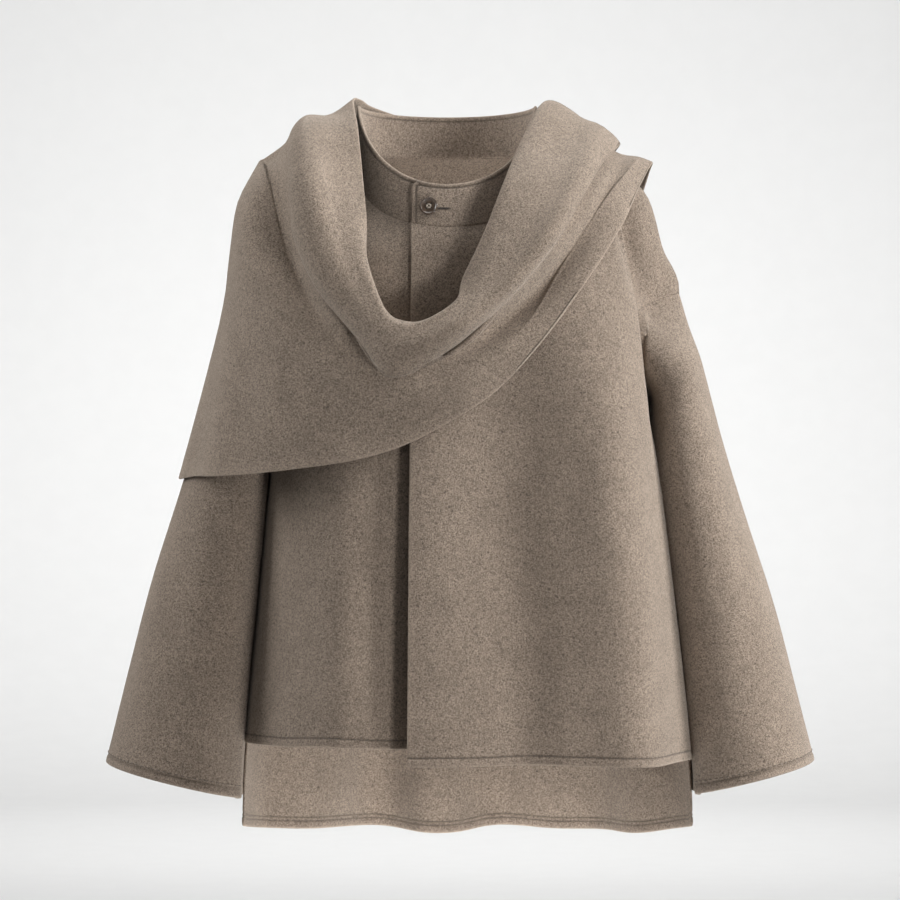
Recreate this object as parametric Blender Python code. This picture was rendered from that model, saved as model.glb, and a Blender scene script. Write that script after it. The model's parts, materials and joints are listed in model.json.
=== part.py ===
"""Hip-length wool cape coat with a stand collar, wide sleeves and a draped shawl.

The garment keeps the hollow form it has when worn.  Tables and driving dimensions are in
millimetres and angles in degrees; the meshes are in metres.  +Z is up and the front faces -Y.
The origin is the middle of the ring where the collar is sewn on.  Left and right are the
left and right of someone who looks at the front.
"""
import math

import bmesh
import bpy
import numpy as np
from mathutils import Matrix, Vector
from mathutils.bvhtree import BVHTree

MM = 0.001

# Cloth and seams
CLOTH = 2.2                  # wall of the body, the sleeves and the shawl
COLLAR_CLOTH = 2.6           # wall of the stand collar
SEAM = 0.35                  # gap between pieces that are sewn together
SHAWL_CLEARANCE = 5.2        # middle of the shawl's wall above the cloth that it lies on

# Body
SEAM_ANGLE = 100.0           # side and shoulder seams, measured round from centre front
FRONT_EDGE_RIGHT = -37.0     # x of the overlapping front's edge at the hem
FRONT_EDGE_NECK = -33.0      # x of the same edge at the collar
UNDERLAP_X = 28.0            # x of the hidden edge of the front beneath
OVERLAP_STEP = 3.2           # how far the overlapping front lies outside the other
UNDERLAP_SINK = 13.0         # how far the front beneath falls back at the hem
HEM_FRONT_LEFT = -548.0
HEM_FRONT_RIGHT = -564.0
HEM_BACK_SIDE = -627.0
HEM_BACK_MIDDLE = -651.0

# Armholes, in ring numbers of BODY_RINGS and in degrees round from the seam
ARMHOLE_BOTTOM = 4.0
ARMHOLE_TOP = 5.0
ARMHOLE_TO_FRONT = 15.0
ARMHOLE_TO_BACK = 25.0
ARMHOLE_TAPER = 1.6          # 1 is an oval, more is narrower towards its top and bottom
FOLD_START = 35.0            # where the front begins to stand out towards its side fold
FOLD_ANGLE = 68.0            # side fold, where the front turns back towards the arm
VALLEY_ANGLE = 81.0          # bottom of the crevice between the fold and the arm
ARM_ANGLE = 102.0            # middle of the bulge over the top of the arm
ARM_END = 135.0              # where the bulge has run out in the back

# Collar
COLLAR_TOP_HALF_WIDTH = 88.0
COLLAR_TOP_FRONT_DEPTH = 85.0
COLLAR_TOP_BACK_DEPTH = 77.0
COLLAR_TOP_FRONT_Z = 2.0
COLLAR_TOP_SIDE_Z = 74.0
COLLAR_TOP_BACK_Z = 85.0
COLLAR_CORNER = 11.0         # radius of the lapped end's upper corner
COLLAR_HEIGHT = 43.0
COLLAR_SEAM = 0.6            # gap between the collar and the body at the front and back
COLLAR_SIDE_SEAM = 1.5       # the same gap over the shoulders

# Button
BUTTON_RADIUS = 9.0
BUTTON_RIM = 1.7
BUTTON_THICKNESS = 3.2
BUTTON_DISH = 1.0
BUTTON_HOLE_RADIUS = 0.9
BUTTON_HOLE_SPACING = 2.0
BUTTON_X = -17.0
BUTTON_HEIGHT_ON_COLLAR = 0.44

# Rings of the body from the lowest to the neck.  Columns: height at the front, side and back,
# middle in x, half width, depth to the front and the back, squareness of the ring, how far the
# arm bulges out at the side, how deep the crevice before the arm is, how far the front's fold
# stands out before the crevice.
BODY_RINGS = (
    (-655, -655, -655, 22.0, 230, 150, 152, 2.30, 0, 0, 0),
    (-561, -561, -561, 22.0, 226, 143, 147, 2.30, 0, 0, 0),
    (-420, -420, -420, 20.5, 210, 133, 139, 2.40, 0, 0, 0),
    (-290, -290, -290, 18.0, 194, 125, 133, 2.50, 0, 0, 1),
    (-212, -212, -212, 17.0, 183, 119, 129, 2.60, 2, 4, 5),
    (-150, -100, -118, 14.0, 172, 116, 126, 2.70, 48, 23, 10),
    (-112, -50, -72, 11.0, 168, 113, 122, 2.70, 41, 23, 9),
    (-88, 4, -22, 8.0, 164, 110, 116, 2.60, 31, 14, 8),
    (-69, 24, 12, 5.0, 154, 107, 106, 2.40, 8, 3, 2),
    (-53, 31, 30, 3.0, 124, 103, 92, 2.15, 0, 0, 0),
    (-39, 34, 40, 1.0, 93, 97, 78, 2.00, 0, 0, 0),
)
NECK_RING = len(BODY_RINGS) - 1

# Soft upright folds of the body.  Columns: angle round from centre front, spread in degrees,
# how far the cloth stands out at the hem (less than 0 falls back), ring where the fold ends.
FRONT_FOLDS = (
    (47, 14, 4.0, 5.0),
    (18, 11, 7.0, 5.0),
    (-4, 8, -3.0, 4.5),
    (-38, 13, 4.0, 4.5),
    (-62, 14, -4.0, 5.0),
)
BACK_FOLDS = (
    (127, 14, -12.0, 4.5),
    (150, 11, 9.0, 4.0),
    (167, 9, 13.0, 3.5),
    (184, 9, -13.0, 4.0),
    (200, 10, 12.0, 3.5),
    (226, 14, -12.0, 4.5),
    (243, 9, 4.0, 3.5),
)

# Sections of the sleeves from the armhole to the cuff.  Columns: distance along the sleeve
# (0 to 1), x and z of the outer side, x and z of the inner side, middle in y, half depth.
SLEEVE_RIGHT = (
    (0.00, 233, -97, 199, -210, 24, 60),
    (0.06, 237, -112, 205, -214, 24, 62),
    (0.16, 249, -148, 205, -232, 24, 66),
    (0.34, 269, -216, 203, -286, 22, 72),
    (0.56, 299, -322, 212, -374, 20, 78),
    (0.78, 334, -441, 222, -474, 18, 84),
    (1.00, 368, -568, 230, -602, 16, 90),
)
SLEEVE_LEFT = (
    (0.00, -208, -97, -166, -210, 24, 60),
    (0.06, -212, -112, -172, -214, 24, 62),
    (0.16, -224, -148, -170, -232, 24, 66),
    (0.34, -243, -216, -167, -286, 22, 72),
    (0.56, -273, -322, -175, -374, 20, 78),
    (0.78, -307, -441, -184, -474, 18, 84),
    (1.00, -340, -570, -190, -606, 16, 90),
)
SLEEVE_SQUARENESS = 2.2
SLEEVE_SETTLE = 0.22         # length over which the armhole's form fades into the sleeve's
SLEEVE_BODY_GAP = 4.5        # between the middles of the sleeve's and the body's walls

# Sections of the shawl, from its start at the back, over the left shoulder, across the chest,
# over the right shoulder and down the back.  Columns: x, y and z of the outer edge, of the
# point where the cloth starts to hang, of the fold under the roll, of the roll's crest and of
# the inner edge; then how far the cloth is tucked in under the roll and how far the roll
# stands out between fold and crest.
SHAWL = (
    (-14, 152, -235, -13, 133, -90, -12, 112, 0, -11, 97, 48, -10, 91, 74, 0, 2),
    (-118, 142, -262, -100, 122, -75, -76, 100, 10, -55, 84, 56, -47, 79, 82, 0, 3),
    (-212, 108, -283, -170, 86, -50, -124, 64, 26, -90, 52, 66, -76, 50, 90, 0, 4),
    (-247, 78, -287, -186, 52, -4, -142, 38, 44, -104, 30, 72, -84, 30, 94, 0, 4),
    (-264, 24, -284, -190, 14, 28, -152, 10, 56, -118, 6, 75, -92, 6, 92, 0, 4),
    (-237, -68, -284, -184, -46, 10, -150, -50, 32, -122, -48, 55, -87, -42, 60, 0.5, 6),
    (-188, -106, -281, -165, -92, -70, -138, -88, -14, -112, -95, -4, -82, -70, 14, 1.5, 8),
    (-142, -124, -276, -132, -118, -120, -124, -112, -70, -92, -124, -52, -78, -100, -28, 3, 8),
    (-94, -132, -269, -94, -134, -178, -102, -126, -124, -72, -143, -99, -76, -112, -86, 4, 7),
    (-52, -132, -258, -56, -138, -198, -66, -150, -181, -53, -154, -132, -58, -116, -142, 5, 7),
    (-13, -131, -240, -18, -138, -196, -30, -152, -180, -26, -158, -136, -16, -116, -150, 5, 8),
    (46, -128, -202, 34, -137, -178, 22, -150, -156, 9, -154, -116, 28, -116, -122, 5, 9),
    (94, -123, -150, 80, -130, -132, 66, -144, -104, 17, -138, -92, 42, -114, -96, 5, 9),
    (138, -112, -90, 120, -120, -72, 106, -134, -54, 37, -126, -50, 54, -105, -46, 5, 7),
    (169, -86, -41, 152, -96, -22, 130, -106, -13, 56, -108, -1, 66, -88, 4, 5, 5),
    (187, -50, -4, 174, -58, 12, 152, -66, 24, 71, -72, 36, 76, -56, 30, 5, 4),
    (206, -6, 28, 192, -8, 34, 174, -8, 48, 96, -10, 94, 94, -4, 68, 5, 0),
    (203, 52, 14, 188, 54, 24, 168, 52, 42, 98, 46, 92, 88, 42, 72, 3.5, 2),
    (194, 98, -24, 176, 100, -10, 152, 96, 14, 82, 84, 68, 66, 74, 62, 2.4, 3),
    (187, 128, -86, 164, 130, -70, 138, 128, -48, 66, 108, 4, 44, 98, 4, 1.6, 4),
    (183, 142, -170, 156, 146, -162, 128, 142, -150, 64, 130, -112, 28, 126, -108, 1, 4),
    (176, 146, -262, 150, 150, -262, 120, 148, -260, 66, 142, -252, 24, 138, -248, 0.5, 4),
)
SHAWL_SPLIT_LEFT = 4         # section where the back stretch meets the front stretch
SHAWL_SPLIT_RIGHT = 16       # section where the front stretch meets the tail
SHAWL_CORE = (10.0, 5.0, -150.0)
SHAWL_SWING = 0.8            # how freely the cloth curves between its lines
TUCK_DEPTH = 1.7             # how deep the tuck lies for each millimetre that it goes in
TUCK_FULL = 4.0              # tuck from which the cloth doubles back on itself

# Mesh steps
BODY_ROWS = (7, 12, 6)       # hem to armpit, along the armhole, armhole to neck
FRONT_COLUMNS = (6, 5, 5, 4)  # edge to fold start, to side fold, to crevice, to side seam
BACK_COLUMNS = 28
BACK_CROWDING = 1.3          # how much closer the columns are towards both sides
SLEEVE_SIDES = 2 * BODY_ROWS[1]
SLEEVE_ROWS = 13
COLLAR_STEPS = 42
COLLAR_ROWS = (0.0, 0.4, 0.72, 0.86, 0.95, 1.0)
SHAWL_STEPS = 3              # steps from one section to the next
SHAWL_ACROSS = (2, 3, 3, 2, 2, 3, 3)    # steps between the shawl's neighbouring lines


def spline(knots, values, at, swing=1.0):
    """Smooth curve through values at rising knots; less swing keeps it nearer straight."""
    knots = np.asarray(knots, float)
    values = np.asarray(values, float)
    at = np.clip(np.asarray(at, float), knots[0], knots[-1])
    slopes = swing * np.gradient(values, knots, axis=0)
    i = np.clip(np.searchsorted(knots, at, side="right") - 1, 0, len(knots) - 2)
    step = knots[i + 1] - knots[i]
    t = (at - knots[i]) / step
    extra = (1,) * (values.ndim - 1)
    t = t.reshape(t.shape + extra)
    step = step.reshape(step.shape + extra)
    return ((2 * t**3 - 3 * t**2 + 1) * values[i] + (t**3 - 2 * t**2 + t) * step * slopes[i]
            + (3 * t**2 - 2 * t**3) * values[i + 1] + (t**3 - t**2) * step * slopes[i + 1])


def unit(vectors):
    """Vectors of length one."""
    return vectors / np.linalg.norm(vectors, axis=-1, keepdims=True)


def ease(t):
    """Smooth rise from 0 to 1."""
    t = np.clip(t, 0.0, 1.0)
    return t * t * (3 - 2 * t)


def lean(cosine, hollow=0.5):
    """Rise of a tilted ring from its side (0) to its front or back (1)."""
    soft = 0.15
    rise = (np.sqrt(cosine**2 + soft**2) - soft) / (math.sqrt(1 + soft**2) - soft)
    return rise * (1 + hollow - hollow * rise)


def fold_depth(angle, ring, folds):
    """How far the upright folds push the body's cloth out at an angle and ring number."""
    depth = 0.0
    for middle, spread, height, end in folds:
        fade = np.clip((end - ring) / end, 0.0, 1.0) ** 1.5
        depth = depth + height * fade * np.exp(-(((angle - middle) / spread) ** 2))
    return depth


def side_form(reach, bulge, valley, fold):
    """How far the side stands out: the front's fold, the crevice behind it and the arm."""
    rise = fold * ease((reach - FOLD_START) / (FOLD_ANGLE - FOLD_START))
    drop = (fold + valley) * ease((reach - FOLD_ANGLE) / (VALLEY_ANGLE - FOLD_ANGLE))
    arm = (valley + bulge) * ease((reach - VALLEY_ANGLE) / (ARM_ANGLE - VALLEY_ANGLE))
    fade = bulge * ease((reach - ARM_ANGLE) / (ARM_END - ARM_ANGLE))
    return rise - drop + arm - fade


def body_point(angle, ring, out=0.0):
    """Point on the body's cloth; angle 0 is centre front, 90 the right side."""
    angle, ring, out = np.broadcast_arrays(angle, ring, out)
    rows = spline(range(len(BODY_RINGS)), BODY_RINGS, ring)
    front_z, side_z, back_z, middle, half, front, back, square, bulge, valley, fold = np.moveaxis(
        rows, -1, 0)
    sine = np.sin(np.radians(angle))
    cosine = np.cos(np.radians(angle))
    reach = np.minimum(angle % 360, 360 - angle % 360)
    half = half + out + side_form(reach, bulge, valley, fold)
    depth = np.where(cosine > 0, front, back) + out
    x = middle + half * np.sign(sine) * np.abs(sine) ** (2 / square)
    y = -depth * np.sign(cosine) * np.abs(cosine) ** (2 / square)
    end_z = np.where(cosine > 0, front_z, back_z)
    z = side_z + (end_z - side_z) * lean(np.abs(cosine))
    return np.stack([x, y, z], axis=-1)


def ring_at(height):
    """Ring number of a height on the level rings below the armpit."""
    count = int(ARMHOLE_BOTTOM) + 1
    numbers = np.linspace(0, count - 1, 200)
    heights = spline(range(len(BODY_RINGS)), [row[1] for row in BODY_RINGS], numbers)
    return np.interp(height, heights, numbers)


def front_surface(angle, ring, side):
    """Point on a front panel's cloth; side 1 overlaps and side -1 lies beneath."""
    out = fold_depth(angle, ring, FRONT_FOLDS)
    if side > 0:
        return body_point(angle, ring, out + OVERLAP_STEP * ease((60 - angle) / 40))
    low = np.clip((ARMHOLE_TOP - ring) / ARMHOLE_TOP, 0, 1)
    return body_point(angle, ring, out - UNDERLAP_SINK * low * ease((angle + 34) / 30))


def back_surface(angle, ring):
    """Point on the back panel's cloth."""
    angle = angle % 360
    return body_point(angle, ring, fold_depth(angle, ring, BACK_FOLDS))


def body_side(y, z, side):
    """x of the body's cloth at a depth and height on one side, below the armpit."""
    ring = ring_at(np.minimum(z, BODY_RINGS[4][1]))
    front, back, square = np.moveaxis(spline(range(len(BODY_RINGS)), BODY_RINGS, ring), -1, 0)[5:8]
    share = np.clip(np.abs(y) / np.where(y < 0, front, back), 0.0, 1.0)
    turn = np.degrees(np.arccos(share ** (square / 2)))
    ahead = front_surface(side * turn, ring, side)[..., 0]
    behind = back_surface(180 - side * turn, ring)[..., 0]
    return np.where(y < 0, ahead, behind)


def surface_normals(surface, angle, ring):
    """Unit normals, facing outwards, of a surface of an angle and a ring number."""
    turn = 0.5
    climb = 0.03
    across = surface(angle + turn, ring) - surface(angle - turn, ring)
    upward = surface(angle, ring + climb) - surface(angle, ring - climb)
    return unit(np.cross(across, upward))


def armhole(turn, side):
    """Edge of one side's armhole, the body's normal there and the way into the hole.

    Turn 0 is the top of the armhole, 90 its front and 180 the armpit.
    """
    turn = np.radians(turn)
    middle = (ARMHOLE_TOP + ARMHOLE_BOTTOM) / 2
    reach = (ARMHOLE_TOP - ARMHOLE_BOTTOM) / 2
    width = np.where(np.sin(turn) > 0, ARMHOLE_TO_FRONT, ARMHOLE_TO_BACK)
    notch = np.abs(np.sin(turn)) ** ARMHOLE_TAPER
    angle = side * (SEAM_ANGLE - width * notch * np.sign(np.sin(turn)))
    ring = middle + reach * np.cos(turn)
    edge = body_point(angle, ring)
    normals = surface_normals(body_point, angle, ring)
    along = np.roll(edge, -1, axis=0) - np.roll(edge, 1, axis=0)
    inward = unit(np.cross(normals, along))
    facing = np.sum((edge.mean(axis=0) - edge) * inward, axis=-1, keepdims=True)
    return edge, normals, inward * np.sign(facing)


def body_rows(hem_ring):
    """Ring numbers of a panel's rows from its hem to the neck, closer along the armhole."""
    low, along, high = BODY_ROWS
    lower = np.linspace(0, 1, low, endpoint=False)
    turn = np.linspace(math.pi, 0, along + 1)
    middle = (ARMHOLE_TOP + ARMHOLE_BOTTOM) / 2
    reach = (ARMHOLE_TOP - ARMHOLE_BOTTOM) / 2
    notch = middle + reach * np.cos(turn)
    upper = np.linspace(ARMHOLE_TOP, NECK_RING, high + 1)[1:]
    hem = np.reshape(hem_ring, (-1, 1))
    below = hem + (ARMHOLE_BOTTOM - hem) * lower
    above = np.broadcast_to(np.concatenate([notch, upper]), (len(hem), along + 1 + high))
    return np.concatenate([below, above], axis=1)


def notch_width(ring, width):
    """How far the armhole cuts into a panel at a ring number, in degrees."""
    middle = (ARMHOLE_TOP + ARMHOLE_BOTTOM) / 2
    reach = (ARMHOLE_TOP - ARMHOLE_BOTTOM) / 2
    inside = np.clip(1 - ((ring - middle) / reach) ** 2, 0.0, 1.0)
    return width * inside ** (ARMHOLE_TAPER / 2)


def seam_degrees(ring):
    """Angle that half a seam's gap takes at a ring number."""
    rows = spline(range(len(BODY_RINGS)), BODY_RINGS, ring)
    return np.degrees(0.5 * SEAM / rows[..., 5])


def front_panel(side):
    """Middle and normals of a front panel's wall; side 1 overlaps, side -1 lies beneath."""
    hem = HEM_FRONT_RIGHT if side > 0 else HEM_FRONT_LEFT
    ring = body_rows(ring_at(hem))[0]
    rows = spline(range(len(BODY_RINGS)), BODY_RINGS, ring)
    height = np.clip((rows[:, 0] - hem) / (BODY_RINGS[-1][0] - hem), 0.0, 1.0)
    edge = FRONT_EDGE_RIGHT + (FRONT_EDGE_NECK - FRONT_EDGE_RIGHT) * height
    edge = edge if side > 0 else np.full_like(edge, UNDERLAP_X)
    share = np.clip((edge - rows[:, 3]) / rows[:, 4], -1, 1)
    start = np.degrees(np.arcsin(np.sign(share) * np.abs(share) ** (rows[:, 7] / 2)))
    end = SEAM_ANGLE - notch_width(ring, ARMHOLE_TO_FRONT) - seam_degrees(ring)
    turns = [start, side * FOLD_START, side * FOLD_ANGLE, side * VALLEY_ANGLE, side * end]
    turns = [np.broadcast_to(turn, ring.shape)[:, None] for turn in turns]
    angle = [turns[0]]
    for first, last, steps in zip(turns, turns[1:], FRONT_COLUMNS):
        angle.append(first + (last - first) * np.linspace(0, 1, steps + 1)[1:])
    angle = np.concatenate(angle, axis=1)
    ring = np.broadcast_to(ring[:, None], angle.shape)

    def surface(angle, ring):
        return front_surface(angle, ring, side)

    return surface(angle, ring), surface_normals(surface, angle, ring)


def back_panel():
    """Middle and normals of the back panel's wall, from the right seam to the left seam."""
    along = np.linspace(-1, 1, BACK_COLUMNS + 1)
    along = 0.5 + 0.5 * np.sign(along) * (1 - (1 - np.abs(along)) ** BACK_CROWDING)
    angle = SEAM_ANGLE + (360 - 2 * SEAM_ANGLE) * along
    deep = np.abs(np.cos(np.radians(angle))) ** 0.6
    hem = HEM_BACK_SIDE + (HEM_BACK_MIDDLE - HEM_BACK_SIDE) * deep
    ring = body_rows(ring_at(hem)).T
    cut = notch_width(ring, ARMHOLE_TO_BACK) + seam_degrees(ring)
    angle = SEAM_ANGLE + cut + (360 - 2 * SEAM_ANGLE - 2 * cut) * along
    return back_surface(angle, ring), surface_normals(back_surface, angle, ring)


def sleeve(table, side):
    """Middle and normals of a sleeve's wall, a row for each ring from armhole to cuff."""
    turn = np.linspace(0, 360, SLEEVE_SIDES, endpoint=False)
    along = np.linspace(0, 1, SLEEVE_ROWS + 1) ** 1.25
    columns = np.asarray(table, float)
    rows = spline(columns[:, 0], columns[:, 1:], along)
    outer = np.stack([rows[:, 0], 0 * rows[:, 0], rows[:, 1]], axis=-1)
    inner = np.stack([rows[:, 2], 0 * rows[:, 0], rows[:, 3]], axis=-1)
    power = 2 / SLEEVE_SQUARENESS
    cosine = np.cos(np.radians(turn))
    sine = np.sin(np.radians(turn))
    across = (np.sign(cosine) * np.abs(cosine) ** power)[None, :, None]
    deep = (np.sign(sine) * np.abs(sine) ** power)[None, :, None]
    middle = (outer + inner)[:, None] / 2 + rows[:, None, 4:5] * np.array([0, 1, 0])
    grid = (middle + (outer - inner)[:, None] / 2 * across
            - rows[:, None, 5:6] * np.array([0, 1, 0]) * deep)
    edge, edge_normals, inward = armhole(turn, side)
    armpit = ((1 - cosine) / 2)[:, None] ** 4
    start = edge + inward * (SEAM + (CLOTH / 2 + 1.0) * np.sqrt(armpit))
    fade = 1 - ease(along / SLEEVE_SETTLE)
    grid = grid + (start - grid[0])[None] * fade[:, None, None]
    wall = body_side(grid[..., 1], grid[..., 2], side) + side * SLEEVE_BODY_GAP
    short = np.maximum(side * (wall - grid[..., 0]), 0)
    within = ease(along / 0.05)[:, None]
    grid[..., 0] += side * short * within
    normals = grid_normals(grid, closed=True)
    normals *= np.sign(np.sum(normals[1, 0] * np.array([side, 0, 0])))
    normals[0] = unit(edge_normals * (1 - armpit) + normals[0] * armpit)
    return grid, normals


def collar_point(angle, share, out):
    """Point on the collar's cloth; share 0 is its lower edge and 1 its upper edge."""
    neck = np.full_like(angle, NECK_RING)
    base = body_point(angle, neck, out)
    sine = np.sin(np.radians(angle))
    cosine = np.cos(np.radians(angle))
    front = cosine > 0
    depth = np.where(front, COLLAR_TOP_FRONT_DEPTH, COLLAR_TOP_BACK_DEPTH) + out
    end_z = np.where(front, COLLAR_TOP_FRONT_Z, COLLAR_TOP_BACK_Z)
    top_z = COLLAR_TOP_SIDE_Z + (end_z - COLLAR_TOP_SIDE_Z) * lean(np.abs(cosine), 0.1)
    top = np.stack([1 + (COLLAR_TOP_HALF_WIDTH + out) * sine, -depth * cosine, top_z], axis=-1)
    along = unit(body_point(angle + 0.5, neck, out) - body_point(angle - 0.5, neck, out))
    up = unit(top - base)
    rise = up - along * np.sum(up * along, axis=-1, keepdims=True)
    length = np.linalg.norm(rise, axis=-1, keepdims=True)
    tilt = np.sum(surface_normals(body_point, angle, neck) * rise, axis=-1, keepdims=True)
    side = (1 - np.abs(cosine))[..., None] ** 4
    seam = COLLAR_SEAM + (COLLAR_SIDE_SEAM - COLLAR_SEAM) * side
    base = base + up * (seam + CLOTH / 2 * np.abs(tilt) / length) / length
    return base + (top - base) * np.asarray(share)[..., None]


def collar_surface(angle, share):
    """Point on the collar's cloth, its lapped end standing outside its hidden end."""
    return collar_point(angle, share, OVERLAP_STEP * ease((-300 - angle) / 40))


def collar():
    """Middle and normals of the collar's wall, from its hidden end round to its lapped end."""
    share = np.array(COLLAR_ROWS)[:, None]
    rise = np.clip(COLLAR_HEIGHT * share - (COLLAR_HEIGHT - COLLAR_CORNER), 0, COLLAR_CORNER)
    corner = COLLAR_CORNER - np.sqrt(COLLAR_CORNER**2 - rise**2)
    half = BODY_RINGS[-1][4] + (COLLAR_TOP_HALF_WIDTH - BODY_RINGS[-1][4]) * share
    first = np.degrees(np.arcsin(UNDERLAP_X / half))
    last = np.degrees(np.arcsin((FRONT_EDGE_NECK + corner) / half)) - 360
    angle = first + (last - first) * np.linspace(0, 1, COLLAR_STEPS + 1)
    share = np.broadcast_to(share, angle.shape)
    turn = 0.5
    across = collar_surface(angle + turn, share) - collar_surface(angle - turn, share)
    upward = collar_surface(angle, np.ones_like(share)) - collar_surface(angle, 0 * share)
    return collar_surface(angle, share), unit(np.cross(across, upward))


def shawl_lines():
    """Lines of the shawl at each of its sections, from the outer edge to the inner edge."""
    rows = np.asarray(SHAWL, float)
    outer, drop, fold, crest, inner = (rows[:, 3 * k:3 * k + 3] for k in range(5))
    tuck, puff = rows[:, 15:16], rows[:, 16:17]
    hang = drop + (outer - drop) * 0.45
    away = unit((fold + crest) / 2 - np.array(SHAWL_CORE))
    upward = unit(crest - fold)
    under = fold + upward * tuck - away * (tuck * TUCK_DEPTH)
    under += (drop - fold) * 0.35 * np.clip(1 - tuck / TUCK_FULL, 0, 1)
    roll = fold * 0.5 + crest * 0.5 + away * puff
    return np.stack([outer, hang, drop, under, fold, roll, crest, inner])


def shawl_grid():
    """Middle of the shawl's wall, a row across it for every step along its sections."""
    lines = shawl_lines()
    count = lines.shape[1]
    along = np.linspace(0, count - 1, (count - 1) * SHAWL_STEPS + 1)
    sections = spline(range(count), np.moveaxis(lines, 1, 0), along)
    rows = []
    for section in sections:
        lengths = np.linalg.norm(np.diff(section, axis=0), axis=1)
        knots = np.concatenate([[0.0], np.cumsum(lengths)])
        places = [knots[:1]]
        for low, high, steps in zip(knots, knots[1:], SHAWL_ACROSS):
            places.append(np.linspace(low, high, steps + 1)[1:])
        rows.append(spline(knots, section, np.concatenate(places), SHAWL_SWING))
    return np.array(rows)


def lift_clear(grid, garment, clearance):
    """Move points of a grid out from the middle of the chest until they clear the garment."""
    core = Vector(SHAWL_CORE)
    lifted = grid.copy()
    for place in np.ndindex(grid.shape[:2]):
        point = Vector(grid[place])
        away = (point - core).normalized()
        hit = garment.ray_cast(core + away * 1000, -away)[0]
        if hit is not None and (hit - core).dot(away) > 0:
            reach = (hit - core).length + clearance
            if (point - core).length < reach:
                lifted[place] = core + away * reach
    return lifted


def grid_normals(grid, closed):
    """Unit normals of a grid of points; closed joins the last column to the first."""
    if closed:
        wide = np.concatenate([grid[:, -1:], grid, grid[:, :1]], axis=1)
        across = wide[:, 2:] - wide[:, :-2]
    else:
        across = np.gradient(grid, axis=1)
    return unit(np.cross(np.gradient(grid, axis=0), across))


def wall_mesh(grid, normals, thickness, closed=False):
    """Corners and faces of a wall of even thickness on both sides of a grid of points."""
    rows, columns = grid.shape[:2]
    normals = normals * thickness / 2
    verts = np.concatenate([(grid + normals).reshape(-1, 3), (grid - normals).reshape(-1, 3)])
    back = rows * columns
    steps = columns if closed else columns - 1
    faces = []
    for row in range(rows - 1):
        for column in range(steps):
            beside = (column + 1) % columns
            quad = (row * columns + column, row * columns + beside,
                    (row + 1) * columns + beside, (row + 1) * columns + column)
            faces.append(quad)
            faces.append(tuple(back + quad[turn] for turn in (0, 3, 2, 1)))
    rim = [(0, column) for column in range(columns)]
    rim += [] if closed else [(row, columns - 1) for row in range(1, rows)]
    if closed:
        loops = [rim, [(rows - 1, column) for column in range(columns)]]
    else:
        rim += [(rows - 1, column) for column in range(columns - 2, -1, -1)]
        rim += [(row, 0) for row in range(rows - 2, 0, -1)]
        loops = [rim]
    for loop in loops:
        for (row_a, column_a), (row_b, column_b) in zip(loop, loop[1:] + loop[:1]):
            a = row_a * columns + column_a
            b = row_b * columns + column_b
            faces.append((b, a, a + back, b + back))
    return verts, faces


def part_at_seams(grid, at_start, at_end):
    """Grid with its first or last row drawn back by half a seam's gap."""
    parted = grid.copy()
    for cut, row, beside in ((at_start, 0, 1), (at_end, -1, -2)):
        if cut:
            parted[row] += unit(grid[beside] - grid[row]) * SEAM / 2
    return parted


def make_object(name, verts, faces, material):
    """Object from corners in millimetres, with its faces turned outwards."""
    mesh = bpy.data.meshes.new(name)
    mesh.from_pydata([tuple(point * MM) for point in verts], [], faces)
    work = bmesh.new()
    work.from_mesh(mesh)
    bmesh.ops.triangulate(work, faces=work.faces)
    bmesh.ops.recalc_face_normals(work, faces=work.faces)
    work.to_mesh(mesh)
    work.free()
    mesh.materials.append(material)
    mesh.shade_smooth()
    mesh.set_sharp_from_angle(angle=math.radians(50))
    item = bpy.data.objects.new(name, mesh)
    bpy.context.scene.collection.objects.link(item)
    return item


def make_material(name, colour, roughness):
    """Plain finish in the colour of one kind of piece."""
    material = bpy.data.materials.new(name)
    material.use_nodes = True
    shader = material.node_tree.nodes["Principled BSDF"]
    shader.inputs["Base Color"].default_value = (*colour, 1.0)
    shader.inputs["Roughness"].default_value = roughness
    shader.inputs["Metallic"].default_value = 0.0
    return material


def surface_tree(solids):
    """Search tree over the surfaces of several solids, in millimetres."""
    verts = []
    faces = []
    for corners, sides in solids:
        first = len(verts)
        verts += [Vector(corner) for corner in corners]
        faces += [tuple(first + corner for corner in side) for side in sides]
    return BVHTree.FromPolygons(verts, faces)


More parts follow.
